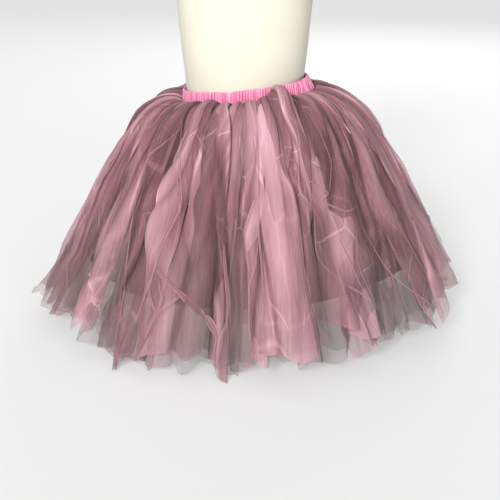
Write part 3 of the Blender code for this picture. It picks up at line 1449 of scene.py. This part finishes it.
@dataclass(frozen=True)
class Lining:
    """The opaque lining: a plainer tube with a narrow turned hem.

    Attributes:
        waist: The waist that it hangs from.
        length: Its length down the cloth.
        gathers: How many soft pleats it has.
        wave_top: Their height at the waist.
        wave_hem: Their height at the hem.
        hem: The depth of its turned hem.
        hem_thickness: How far the turned hem stands out.
        hem_edge: The share of the length over which its edge rises.
        wall: The thickness of its solid's wall.
        drop: How far under the casing it is sewn.
        sway: The height of its soft uneven folds at the hem.
        wrinkle: The height of its fine wrinkles.
        puckers: How many puckers its hem's stitches draw up.
        pucker: Their height.
        pucker_reach: How far they reach, as a share of the length.
        width: The width of its cut strip; not used.
        columns: Faces round it.
        rows: Faces down it.
        drape: How it hangs.
    """

    waist: Waist
    length: float = 0.300
    gathers: int = 16
    wave_top: float = 0.0004
    wave_hem: float = 0.0070
    hem: float = 0.010
    hem_thickness: float = 0.0006
    hem_edge: float = 0.004
    wall: float = 0.0012
    drop: float = 0.0006
    sway: float = 0.0012
    wrinkle: float = 0.0005
    puckers: int = 180
    pucker: float = 0.0004
    pucker_reach: float = 0.012
    width: float = 1.50
    columns: int = 480
    rows: int = 90
    drape: Drape = Drape(Slope(30, 62, 0.050), Slope(34, 63, 0.060), Slope(40, 68, 0.050))

    def cloth(self, across: Array, share: Array) -> Cloth:
        """Return the lining's points at places across and down it."""
        angle = TAU * across
        along = self.length * share
        turn = TAU * self.gathers * across
        wave = blend(self.wave_top, self.wave_hem, share)
        soft = Rumple(71, (3, 18), (0.5, 3.0)).at(across, share)
        fine = Rumple(72, (30, 90), (0.2, 2.0)).at(across, share)
        hem_share = self.hem / self.length
        turned = settle(1.0 - hem_share - self.hem_edge, 1.0 - hem_share, share)
        stitched = np.exp(-(((share - STITCHED_HEM) / self.pucker_reach) ** 2))
        puckers = np.cos(TAU * self.puckers * across) * stitched
        lift = wave * np.cos(turn) + self.sway * soft * share + self.wrinkle * fine
        lift += self.hem_thickness * turned + self.pucker * puckers
        lift -= self.waist.fold_depth(angle, along)
        seam = self.waist.casing_top - self.waist.casing_height - self.drop - self.wall / 2
        points = self.waist.place(self.drape, angle, along, lift, 0.0, seam)
        return Cloth(points, {})

    def build(self, finish: bpy.types.Material) -> bpy.types.Object:
        piece = cloth_tube("lining_cloth", self.columns, self.rows, 1.0, self.cloth, finish)
        dress(piece, "lining", Node.LINING)
        return piece


@dataclass(frozen=True)
class WaistCasing:
    """The satin casing: a flat tube over its elastic, drawn up in narrow uneven gathers.

    Attributes:
        waist: The waist that it goes round.
        wall: Its thickness, with the elastic inside.
        gathers: How many gathers it has.
        columns: Faces round the waist.
        around: Faces round its section.
        spacing: The share of the tulle's uneven spacing that its gathers follow.
        side_power: How flat its outside and inside are: less is flatter.
        edge_power: How flat its upper and lower edges are.
        bend: How far its gathers bend aside, in radians.
        slant: How far they slant from edge to edge, in radians.
        pulls: How much its gathers and its finer ones draw the satin in.
        gather_depth: How deep they are.
        edge_fade: The share of that depth that they lose at the edges.
        edge_wave: How far they draw the edges up and down.
        lean: How far its upper edge leans in at +X.
        lean_width: Half the width of that, in degrees.
        notch: Where its upper edge dips.
        creases: The creases placed one by one.
        shine: How much painted highlight a crease adds to the satin, for each metre of its height.
        flat: The cut size of the outside, which is what shows; not used.
    """

    waist: Waist
    wall: float = 0.0026
    gathers: int = 40
    columns: int = 960
    around: int = 28
    spacing: float = 0.5
    side_power: float = 0.7
    edge_power: float = 0.8
    bend: float = 0.8
    slant: float = 0.9
    pulls: tuple[float, float] = (0.45, 0.75)
    gather_depth: float = 0.0009
    edge_fade: float = 0.3
    edge_wave: float = 0.0006
    lean: float = 0.0120
    lean_width: float = 42.0
    notch: Dip = Dip(-17, 0.0026, 2.2)
    creases: tuple[Crease, ...] = (
        Crease(-19, -15, 0.9, 0.0009),
        Crease(48, 66, 1.4, 0.0011),
        Crease(58, 74, 1.2, -0.0009),
        Crease(64, 84, 1.6, 0.0010),
        Crease(150, 160, 1.6, 0.0010),
        Crease(-120, -132, 1.6, 0.0010),
    )
    shine: float = 900.0
    flat: tuple[float, float] = (0.70, 0.024)

    def section(self, turn: Array) -> tuple[Array, Array]:
        """Return how far out and how far up the section is at turns round it."""
        side, edge = np.cos(turn), np.sin(turn)
        out = 0.5 * self.wall * np.sign(side) * np.abs(side) ** self.side_power
        up = 0.5 * self.waist.casing_height * np.sign(edge) * np.abs(edge) ** self.edge_power
        return out, up

    def cloth(self, across: Array, share: Array) -> Cloth:
        """Return the casing's points round the waist and round its own section."""
        waist = self.waist
        angle = TAU * (across + self.spacing * ripple(SPACING, across))
        turn = TAU * share
        out, up = self.section(turn)
        height = up / waist.casing_height
        bend = Rumple(83, (10, 60), (0.0, 0.0)).at(across, 0.0 * share)
        draw = TAU * self.gathers * across + self.bend * bend + self.slant * height
        fine = Rumple(84, (90, 170), (0.0, 0.0), 12).at(across, 0.0 * share)
        pull = self.pulls[0] * np.cos(draw) + self.pulls[1] * fine
        outside = settle(-0.4, 0.5, np.cos(turn))
        faded = 1.0 - self.edge_fade * np.abs(2 * height) ** 2
        out = out + self.gather_depth * pull * outside * faded
        at_edge = settle(0.1, 0.5, np.abs(height))
        up = up + self.edge_wave * np.cos(draw + 1.0) * at_edge
        bearing = wrapped(bearing_of(angle))
        for crease in self.creases:
            middle = blend(crease.top, crease.foot, 0.5 - height)
            away = (bearing - middle) / crease.half_width
            line = np.exp(-away * away) * outside
            out = out + crease.height * line
            # Painted highlight along a raised crease, painted shade along a trough
            pull = pull + self.shine * crease.height * line
        out = out - self.lean * near(angle, 90.0, self.lean_width) * (0.5 + height)
        notched = near(angle, self.notch.bearing, self.notch.half_width)
        up = up - self.notch.extra * settle(0.0, 0.5, height) * notched
        x = waist.shift_x + (waist.half_width + out) * np.cos(angle)
        y = waist.shift_y + (waist.half_depth + out) * np.sin(angle)
        z = waist.casing_top - waist.casing_height / 2 + up + waist.tilt * x
        # The mark paints highlight on the gathers' crests and creases and shade in their hollows
        return Cloth(np.stack((x, y, z), axis=-1), {"tone_and_painted_light": settle(-1.4, 1.5, pull)})

    def build(self, finish: bpy.types.Material) -> bpy.types.Object:
        piece = cloth_tube("satin_casing", self.columns, self.around, 1.0, self.cloth, finish)
        face_outwards(piece)
        dress(piece, "satin", Node.CASING)
        return piece


@dataclass(frozen=True)
class Section:
    """One section of the form: its height, half sizes, forward shift and corner power."""

    height: float
    half_width: float
    half_depth: float
    shift_y: float
    power: float


@dataclass(frozen=True)
class DressForm:
    """The smooth moulded form, drawn through its sections.

    Attributes:
        sides: Faces round it.
        rings: Rings up it, besides those at its sections.
        sharp: The least angle between faces that shows as an edge, in degrees.
        sections: Its sections, from its base to its neck.
    """

    sides: int = 144
    rings: int = 150
    sharp: float = 50.0
    sections: tuple[Section, ...] = (
        Section(0.000, 0.0915, 0.0770, 0.000, 2.2),
        Section(0.006, 0.0950, 0.0800, 0.000, 2.2),
        Section(0.090, 0.1030, 0.0870, 0.002, 2.2),
        Section(0.170, 0.1095, 0.0915, 0.005, 2.2),
        Section(0.235, 0.1085, 0.0900, 0.005, 2.2),
        Section(0.300, 0.0970, 0.0810, 0.003, 2.2),
        Section(0.330, 0.0906, 0.0745, 0.000, 2.05),
        Section(0.352, 0.0893, 0.0735, 0.000, 2.0),
        Section(0.378, 0.0907, 0.0745, 0.000, 2.05),
        Section(0.421, 0.0950, 0.0770, 0.000, 2.25),
        Section(0.494, 0.1016, 0.0810, 0.000, 2.3),
        Section(0.560, 0.1085, 0.0850, 0.001, 2.35),
        Section(0.602, 0.1170, 0.0800, 0.003, 2.4),
        Section(0.626, 0.1190, 0.0680, 0.006, 2.4),
        Section(0.642, 0.1050, 0.0560, 0.008, 2.3),
        Section(0.654, 0.0760, 0.0480, 0.009, 2.15),
        Section(0.666, 0.0500, 0.0430, 0.009, 2.0),
        Section(0.684, 0.0425, 0.0410, 0.008, 2.0),
        Section(0.706, 0.0410, 0.0405, 0.007, 2.0),
        Section(0.712, 0.0375, 0.0370, 0.007, 2.0),
    )

    def between(self, name: str, heights: Array) -> Array:
        """Return one size of the sections at some heights, on a smooth curve."""
        at = np.array([section.height for section in self.sections])
        size = np.array([getattr(section, name) for section in self.sections])
        steps = np.diff(size) / np.diff(at)
        same = steps[1:] * steps[:-1] > 0
        mean = 2 * steps[1:] * steps[:-1] / np.where(same, steps[1:] + steps[:-1], 1.0)
        slopes = np.concatenate(([steps[0]], np.where(same, mean, 0.0), [steps[-1]]))
        low = np.clip(np.searchsorted(at, heights, side="right") - 1, 0, len(at) - 2)
        span = at[low + 1] - at[low]
        part = (heights - at[low]) / span
        rise = part * part * (3 - 2 * part)
        leave = part * (1 - part) ** 2 * span * slopes[low]
        arrive = part * part * (part - 1) * span * slopes[low + 1]
        return blend(size[low], size[low + 1], rise) + leave + arrive

    def build(self, finish: bpy.types.Material) -> bpy.types.Object:
        """Build the form: rings extruded from its base to its neck, closed at both ends."""
        levels = [section.height for section in self.sections]
        heights = np.unique(np.concatenate((np.linspace(0, levels[-1], self.rings), levels)))
        sizes = {
            name: self.between(name, heights)
            for name in ("half_width", "half_depth", "shift_y", "power")
        }
        maker = bmesh.new()
        bmesh.ops.create_circle(maker, cap_ends=False, segments=self.sides, radius=1.0)
        maker.verts.ensure_lookup_table()
        order = maker.verts.layers.float.new("turn")
        for point in maker.verts:
            point[order] = math.atan2(point.co.y, point.co.x)
        ring = list(maker.edges)
        for number, height in enumerate(heights):
            if number:
                grown = bmesh.ops.extrude_edge_only(maker, edges=ring)["geom"]
                ring = [item for item in grown if isinstance(item, bmesh.types.BMEdge)]
            flat = 2.0 / sizes["power"][number]
            for point in {end for edge in ring for end in edge.verts}:
                x, y = math.cos(point[order]), math.sin(point[order])
                point.co = (
                    sizes["half_width"][number] * math.copysign(abs(x) ** flat, x),
                    sizes["shift_y"][number]
                    + sizes["half_depth"][number] * math.copysign(abs(y) ** flat, y),
                    height,
                )
        open_edges = [edge for edge in maker.edges if edge.is_boundary]
        bmesh.ops.holes_fill(maker, edges=open_edges, sides=0)
        bmesh.ops.recalc_face_normals(maker, faces=maker.faces)
        piece = add_piece("moulded_form", maker, finish)
        piece.data.set_sharp_from_angle(angle=math.radians(self.sharp))
        dress(piece, "form", Node.FORM)
        return piece


def face_outwards(piece: bpy.types.Object) -> None:
    """Turn a closed piece's faces outwards."""
    maker = bmesh.new()
    maker.from_mesh(piece.data)
    bmesh.ops.recalc_face_normals(maker, faces=maker.faces)
    maker.to_mesh(piece.data)
    maker.free()


def dress(piece: bpy.types.Object, slot: str, *nodes: Node) -> None:
    """Let a piece ride with the object, hide the solids that it stands for, and log its faces."""
    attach(piece, BODY)
    if nodes:
        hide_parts(*(node.value for node in nodes))
    LOG.info("%s: %d faces", piece.name, len(piece.data.polygons))


@dataclass(frozen=True)
class Strand:
    """A narrow fold of net that stands off the skirt.

    Attributes:
        route: Its bearings and shares of the way down, from end to end.
        half_width: Half its width where it is widest.
        stand: How far it stands off in its middle.
        twists: How many times it turns over.
    """

    route: tuple[tuple[float, float], ...]
    half_width: float
    stand: float = 0.003
    twists: float = 0.0


@dataclass(frozen=True)
class LooseFolds:
    """The strands and pinched folds of net that lie loose on the outer layer.

    Attributes:
        waist: The waist that the outer layer hangs from.
        strands: The strands.
        cloth_width: The width of the outer layer's cut strip.
        length: Its length.
        steps: Faces along a strand.
        sides: Faces across it.
        lifts: How far off the layer's curve a strand lies, at the waist and at the hem.
        sunk: How far it sinks into the deep folds, as a share of their depth.
        softened: How much of a strand a corner of its route is rounded over.
        tip: The width of a strand's ends, as a share of that of its middle.
        turned_width: The width left where a twist shows its edge.
        crown: How high its middle stands, in half widths.
        tilt: How high a twist lifts its edge, in half widths.
        tones: The ridge mark of its middle, and how much paler its edges are.
        cover: How closely its net lies, from 0 to 1.
        drape: How the outer layer hangs.
    """

    waist: Waist
    strands: tuple[Strand, ...]
    cloth_width: float = 2.60
    length: float = 0.388
    steps: int = 72
    sides: int = 6
    lifts: tuple[float, float] = (0.001, 0.012)
    sunk: float = 0.9
    softened: float = 0.08
    tip: float = 0.22
    turned_width: float = 0.25
    crown: float = 0.5
    tilt: float = 0.4
    # tones: The tone of its middle, and how much painted highlight lightens its edges.
    tones: tuple[float, float] = (0.38, 0.30)
    cover: float = 0.35
    drape: Drape = TulleLayer.drape

    def surface(self, bearing: Array, share: Array, stand: Array) -> Array:
        """Return points just outside the outer layer."""
        angle = angle_of(bearing)
        along = self.length * share
        lift = blend(*self.lifts, np.clip(share, 0.0, 1.0) ** GROWTH) + stand
        lift = lift - self.sunk * self.waist.fold_depth(angle, along)
        seam = self.waist.casing_top - self.waist.casing_height + SEAM_RISE
        return self.waist.place(self.drape, angle, along, lift, SEAM_OUT, seam)

    def route(self, strand: Strand, part: Array) -> tuple[Array, Array]:
        """Return a strand's bearings and shares of the way down, with rounded corners."""
        knots = np.linspace(0.0, 1.0, len(strand.route))
        corners = np.array(strand.route)
        half = self.softened / 2
        softer = np.linspace(-half, half, 5)[:, None] + part[None, :]
        bearing = np.interp(softer, knots, corners[:, 0]).mean(axis=0)
        share = np.interp(softer, knots, corners[:, 1]).mean(axis=0)
        return bearing, share

    def lay(self, strand: Strand, maker: bmesh.types.BMesh, tone_and_painted_light: Any) -> None:
        """Add one strand to the mesh.

        Args:
            strand: The strand.
            maker: The mesh, which has a UV map.
            tone_and_painted_light: The mesh's layer for the mark of tone, painted shade and painted
                highlight.
        """
        part = np.linspace(0.0, 1.0, self.steps + 1)
        bearing, share = self.route(strand, part)
        arch = np.sin(math.pi * part)
        centre = self.surface(bearing, share, strand.stand * arch**0.5)
        along = np.gradient(centre, axis=0)
        along /= np.linalg.norm(along, axis=1)[:, None]
        out = centre * (1.0, 1.0, 0.0) + (0.0, 0.0, 0.05)
        out /= np.linalg.norm(out, axis=1)[:, None]
        beside = np.cross(along, out)
        beside /= np.linalg.norm(beside, axis=1)[:, None]
        turn = math.pi * strand.twists * part
        width = strand.half_width * (self.tip + (1.0 - self.tip) * arch**0.7)
        flat = self.turned_width + (1.0 - self.turned_width) * np.abs(np.cos(turn))
        before = len(maker.verts)
        bmesh.ops.create_grid(
            maker, x_segments=self.steps, y_segments=self.sides, size=0.5, calc_uvs=True
        )
        maker.verts.ensure_lookup_table()
        fresh = list(maker.verts)[before:]
        uv = maker.loops.layers.uv.active
        run = float(np.linalg.norm(np.diff(centre, axis=0), axis=1).sum())
        for face in {face for point in fresh for face in point.link_faces}:
            for corner in face.loops:
                u, v = corner[uv].uv
                across = v * 2 * strand.half_width / self.cloth_width
                corner[uv].uv = (across, u * run / self.length)
        plain, paler = self.tones
        for point in fresh:
            step = round((point.co.x + 0.5) * self.steps)
            aside = 2.0 * point.co.y
            across = aside * width[step] * flat[step]
            raised = self.crown * width[step] * (1.0 - abs(aside))
            raised += self.tilt * width[step] * aside * math.sin(turn[step])
            # Painted highlight along the strand's edges
            point[tone_and_painted_light] = plain + paler * abs(aside) ** 4
            point.co = centre[step] + across * beside[step] + raised * out[step]

    def build(self, finish: bpy.types.Material) -> bpy.types.Object:
        """Build the loose folds as one piece."""
        maker = bmesh.new()
        maker.loops.layers.uv.new("UVMap")
        tone_and_painted_light = maker.verts.layers.float.new("tone_and_painted_light")
        gathered = maker.verts.layers.float.new("gathered")
        for strand in self.strands:
            self.lay(strand, maker, tone_and_painted_light)
        for point in maker.verts:
            point[gathered] = self.cover
        piece = add_piece("loose_net_folds", maker, finish)
        dress(piece, "tulle")
        return piece


@dataclass(frozen=True)
class Stitches:
    """A row of stitches on a cloth, drawn twice as long and as thick as real ones.

    Attributes:
        name: The piece's name.
        count: How many there are round the cloth.
        share: How far down the cloth the row lies, or how far round the casing's section.
        slot: The material slot of the cloth that it sews; not used.
        thickness: The thread's thickness.
        stitch: The share of the way to the next stitch that one fills.
    """

    name: str
    count: int
    share: float
    slot: str
    thickness: float = 0.0006
    stitch: float = 0.62

    def build(self, place: Place, finish: bpy.types.Material) -> bpy.types.Object:
        """Build the row on the cloth that place gives."""
        starts = np.arange(self.count) / self.count
        ends = (np.arange(self.count) + self.stitch) / self.count
        row = np.full(self.count, self.share)
        maker = bmesh.new()
        for first, last in zip(place(starts, row).points, place(ends, row).points):
            first, last = Vector(first), Vector(last)
            along = (last - first) / 2
            turn = along.to_track_quat("X", "Z").to_matrix().to_4x4()
            size = Matrix.Diagonal((along.length, self.thickness / 2, self.thickness / 2, 1.0))
            matrix = Matrix.Translation((first + last) / 2) @ turn @ size
            bmesh.ops.create_icosphere(maker, subdivisions=2, radius=1.0, matrix=matrix)
        piece = add_piece(self.name, maker, finish)
        dress(piece, self.slot)
        return piece


# ---------------------------------------------------------------- studio


@dataclass(frozen=True)
class Lamp:
    """A soft square lamp: where it stands, what it faces, its size and its power."""

    name: str
    place: tuple[float, float, float]
    target: tuple[float, float, float]
    size: float
    power: float


@dataclass(frozen=True)
class Studio:
    """A wide pale floor, soft lamps and the camera.

    Attributes:
        camera_place: Where the camera stands.
        camera_down: How far down it looks, in degrees.
        lens: Its focal length in millimetres.
        sensor: Its sensor's width in millimetres.
        lamps: The lamps.
        sky: The strength of the even pale light from all round.
        floor_half: Half the width of the floor.
        layers_seen: How many see-through walls of net a ray may pass.
    """

    camera_place: tuple[float, float, float] = (0.008, -1.477, 0.632)
    camera_down: float = 19.9
    lens: float = 69.2
    sensor: float = 36.0
    lamps: tuple[Lamp, ...] = (
        Lamp("key_lamp", (-0.90, -3.15, 1.70), (0.0, 0.0, 0.30), 0.75, 110.0),
        Lamp("fill_lamp", (1.35, -3.3, 1.2), (0.1, 0.0, 0.2), 1.35, 26.0),
        Lamp("top_lamp", (0.0, 0.4, 2.6), (0.0, 0.2, 0.2), 1.6, 7.0),
        Lamp("rear_lamp", (0.8, 3.1, 2.0), (0.0, 0.0, 0.3), 1.6, 24.0),
    )
    sky: float = 0.27
    floor_half: float = 9.0
    layers_seen: int = 28

    def place_camera(self) -> None:
        """Add the camera and make it the scene's own."""
        data = bpy.data.cameras.new("camera")
        data.lens, data.sensor_width = self.lens, self.sensor
        camera = bpy.data.objects.new("camera", data)
        camera.location = self.camera_place
        camera.rotation_euler = (math.radians(90.0 - self.camera_down), 0.0, 0.0)
        bpy.context.scene.collection.objects.link(camera)
        bpy.context.scene.camera = camera

    def light(self) -> None:
        """Add the lamps and an even pale sky."""
        for lamp in self.lamps:
            data = bpy.data.lights.new(lamp.name, "AREA")
            data.shape, data.size = "SQUARE", lamp.size
            data.energy = lamp.power
            made = bpy.data.objects.new(lamp.name, data)
            made.location = lamp.place
            made.visible_camera = False
            aim = Vector(lamp.target) - Vector(lamp.place)
            made.rotation_euler = aim.to_track_quat("-Z", "Y").to_euler()
            bpy.context.scene.collection.objects.link(made)
        world = bpy.data.worlds.new("studio")
        world.use_nodes = True
        sky = world.node_tree.nodes["Background"]
        sky.inputs["Color"].default_value = (1.0, 1.0, 1.0, 1.0)
        sky.inputs["Strength"].default_value = self.sky
        bpy.context.scene.world = world

    def lay_floor(self, finish: bpy.types.Material) -> None:
        """Lay the floor, which is stage and not part of the object."""
        maker = bmesh.new()
        bmesh.ops.create_grid(maker, x_segments=12, y_segments=12, size=self.floor_half)
        add_piece("studio_floor", maker, finish)

    def open(self) -> None:
        """Set up the whole studio."""
        scene = bpy.context.scene
        scene.view_settings.view_transform = "Standard"
        scene.cycles.transparent_max_bounces = self.layers_seen
        self.place_camera()
        self.light()
        self.lay_floor(StudioPaper().make())


WAIST = Waist()

# The strands of the front: each route is its bearings and shares of the way down
FRONT_STRANDS = (
    Strand(
        ((-30, 0.72), (-21, 0.79), (-14, 0.86), (-12, 0.88), (-9, 0.94), (-10, 1.05)),
        0.0060,
        0.004,
        3,
    ),
    Strand(((-20, 0.81), (-26, 0.89), (-28, 0.98)), 0.0030, 0.005, 1),
    Strand(((-30, 0.74), (-30, 0.81), (-26, 0.88), (-25, 0.83), (-28, 0.75)), 0.0012, 0.004),
    Strand(((-9, 0.60), (-6, 0.82), (-6, 0.88), (-8, 0.96), (-9, 1.05)), 0.0037, 0.004, 1),
    Strand(((3, 0.60), (2, 0.69), (0, 0.76), (0, 0.96)), 0.0012, 0.003),
    Strand(((-44, 0.35), (-44, 0.50), (-41, 0.69), (-39, 0.83), (-38, 1.02)), 0.0011, 0.003),
    Strand(
        ((-38, 0.12), (-30, 0.29), (-24, 0.48), (-28, 0.62), (-30, 0.74), (-33, 0.95)),
        0.0013,
        0.004,
    ),
    Strand(((-31, 0.30), (-27, 0.44), (-25, 0.50), (-27, 0.40)), 0.0009, 0.003),
    Strand(((4, 0.21), (3, 0.53), (4, 0.71), (4, 1.02)), 0.0013, 0.003),
    Strand(((8, 0.54), (16, 0.65), (18, 0.80), (14, 1.01)), 0.0010, 0.003),
    Strand(
        ((10, 0.21), (18, 0.26), (14, 0.30), (20, 0.34), (17, 0.40), (26, 0.42)), 0.0011, 0.004
    ),
    Strand(
        ((17, 0.30), (22, 0.38), (30, 0.46), (26, 0.48), (34, 0.54), (40, 0.53)), 0.0012, 0.005
    ),
    Strand(((24, 0.50), (22, 0.66), (23, 0.70), (28, 0.78), (36, 0.88)), 0.0025, 0.004, 1),
    Strand(((28, 0.53), (31, 0.68), (33, 0.81), (36, 0.90)), 0.0010, 0.003),
    Strand(((38, 0.56), (34, 0.70), (34, 0.77), (37, 0.92)), 0.0008, 0.003),
    Strand(((30, 0.10), (33, 0.22), (34, 0.35), (30, 0.46)), 0.0010, 0.003),
    Strand(((-78, 0.60), (-70, 0.80), (-61, 0.99)), 0.0012, 0.001),
    Strand(((52, 0.40), (55, 0.62), (60, 0.98)), 0.0010, 0.003),
)
TURNS = (118.0, 168.0, -150.0)  # how far round the copies on the hidden sides are turned
COPY_EVERY = 2  # every so many strands, one is copied


def turned(strand: Strand, turn: float) -> Strand:
    """Return a strand moved round the skirt, where it lies closer to the net."""
    route = tuple((bearing + turn, share) for bearing, share in strand.route)
    return replace(strand, route=route, stand=0.0)


def all_strands() -> tuple[Strand, ...]:
    """Return the strands of the front, each with its copies on the hidden sides."""
    strands = []
    for number, strand in enumerate(FRONT_STRANDS):
        strands.append(strand)
        if number % COPY_EVERY == 0:
            strands += [turned(strand, turn) for turn in TURNS]
    return tuple(strands)


FRONT_TUCKS = (
    Tuck(-47, -38, 0.02, OPEN_HEM, 0.020, -1),
    Tuck(-38, -30, 0.05, OPEN_HEM, 0.016, 1),
    Tuck(-14, -8, 0.02, OPEN_HEM, 0.022, 1),
    Tuck(3, 4, 0.05, OPEN_HEM, 0.018, -1),
    Tuck(12, 15, 0.30, OPEN_HEM, 0.020, 1),
    Tuck(34, 36, 0.02, OPEN_HEM, 0.017, -1),
    Tuck(48, 57, 0.05, OPEN_HEM, 0.018, -1),
)
TULLE_LAYERS = (
    TulleLayer(
        Node.OUTER,
        WAIST,
        length=0.388,
        inset_top=0.0,
        inset_hem=0.0,
        wave_top=0.0010,
        wave_hem=0.0150,
        hem_wave=0.0100,
        phase=0.0,
        seed=100,
        hem_drop=0.001,
        tucks=FRONT_TUCKS,
        crushed=(
            Zone(22, 0.40, 13, 0.22),
            Zone(33, 0.56, 9, 0.14),
            Zone(-43, 0.34, 5, 0.10),
            Zone(128, 0.48, 12, 0.20),
            Zone(-120, 0.55, 10, 0.18),
        ),
        bunches=(
            Dip(21, 0.0200, 7.5),
            Dip(-27, 0.0020, 5),
            Dip(141, 0.0090, 5),
            Dip(-134, 0.0070, 5),
        ),
        thin=(
            Zone(-70, 0.86, 9, 0.26),
            Zone(-22, 1.00, 5, 0.07),
            Zone(41, 0.99, 6, 0.10),
            Zone(60, 0.97, 5, 0.14),
            Zone(98, 0.92, 8, 0.18),
            Zone(150, 0.97, 6, 0.12),
            Zone(-110, 0.90, 8, 0.20),
            Zone(-163, 0.96, 6, 0.12),
        ),
        # Zones where the net lies folded double and lighter; those with strength below 0 are
        # painted shade
        doubled_or_shaded=(
            Zone(9, 0.48, 5, 0.34, 0.24),
            Zone(5, 0.92, 2.5, 0.20, 0.16),
            Zone(-36, 0.72, 3.5, 0.36, 0.24),
            Zone(-9, 0.86, 2.5, 0.22, 0.16),
            Zone(-19, 0.64, 5, 0.28, 0.10),
            Zone(-25, 0.45, 4, 0.14, -0.10),
            Zone(-51, 0.28, 5, 0.18, -0.14),
            Zone(-55, 0.66, 4, 0.22, -0.16),
            Zone(-64, 0.80, 5, 0.24, -0.10),
            Zone(-8, 0.35, 2.5, 0.14, 0.14),
            Zone(-4, 0.21, 4, 0.12, 0.12),
            Zone(28, 0.46, 6, 0.13, 0.20),
            Zone(33, 0.66, 6, 0.13, 0.12),
            Zone(33, 0.90, 6, 0.09, -0.18),
            Zone(45, 0.84, 5, 0.05, 0.22),
            Zone(52, 0.78, 6, 0.20, -0.26),
            Zone(50, 0.26, 6, 0.18, -0.14),
            Zone(-15, 0.12, 5, 0.10, 0.14),
            Zone(76, 0.60, 6, 0.30),
            Zone(112, 0.66, 5, 0.30),
            Zone(163, 0.58, 7, 0.34),
            Zone(-86, 0.70, 5, 0.26),
            Zone(-142, 0.60, 6, 0.34),
        ),
    ),
    TulleLayer(
        Node.MIDDLE,
        WAIST,
        length=0.378,
        inset_top=0.0018,
        inset_hem=0.0110,
        wave_top=0.0010,
        wave_hem=0.0135,
        hem_wave=0.0080,
        phase=0.5,
        seed=200,
        hem_drop=0.001,
    ),
    TulleLayer(
        Node.INNER,
        WAIST,
        length=0.392,
        inset_top=0.0037,
        inset_hem=0.0220,
        wave_top=0.0010,
        wave_hem=0.0120,
        hem_wave=0.0070,
        phase=1.0,
        seed=300,
        hem_drop=0.006,
        full=0.22,
    ),
)


def main() -> None:
    """Build the studio, then the form and the skirt from the inside out."""
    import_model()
    Studio().open()
    DressForm().build(MouldedPlastic().make())
    casing, lining = WaistCasing(WAIST), Lining(WAIST)
    casing.build(Satin().make())
    lining.build(PlainWeave().make())
    Stitches("casing_stitches", 120, STITCHED_CASING, "satin").build(
        casing.cloth, SewingThread("pink_sewing_thread", "C4507F").make()
    )
    Stitches("lining_hem_stitches", 220, STITCHED_HEM, "lining").build(
        lining.cloth, SewingThread("rose_sewing_thread", "8A626A").make()
    )
    pink = Tulle().make()
    grey = Tulle("nylon_tulle_inner", tones=("50363A", "90696F", "D4AAB3"), greyed=0.85).make()
    loose = LooseFolds(WAIST, all_strands()).build(pink)
    for layer in TULLE_LAYERS:
        if layer.node is Node.OUTER:
            layer.build(pink, [loose])
        else:
            layer.build(grey if layer.node is Node.INNER else pink)


if __name__ == "__main__":
    logging.basicConfig(level=logging.INFO, format="%(message)s")
    main()
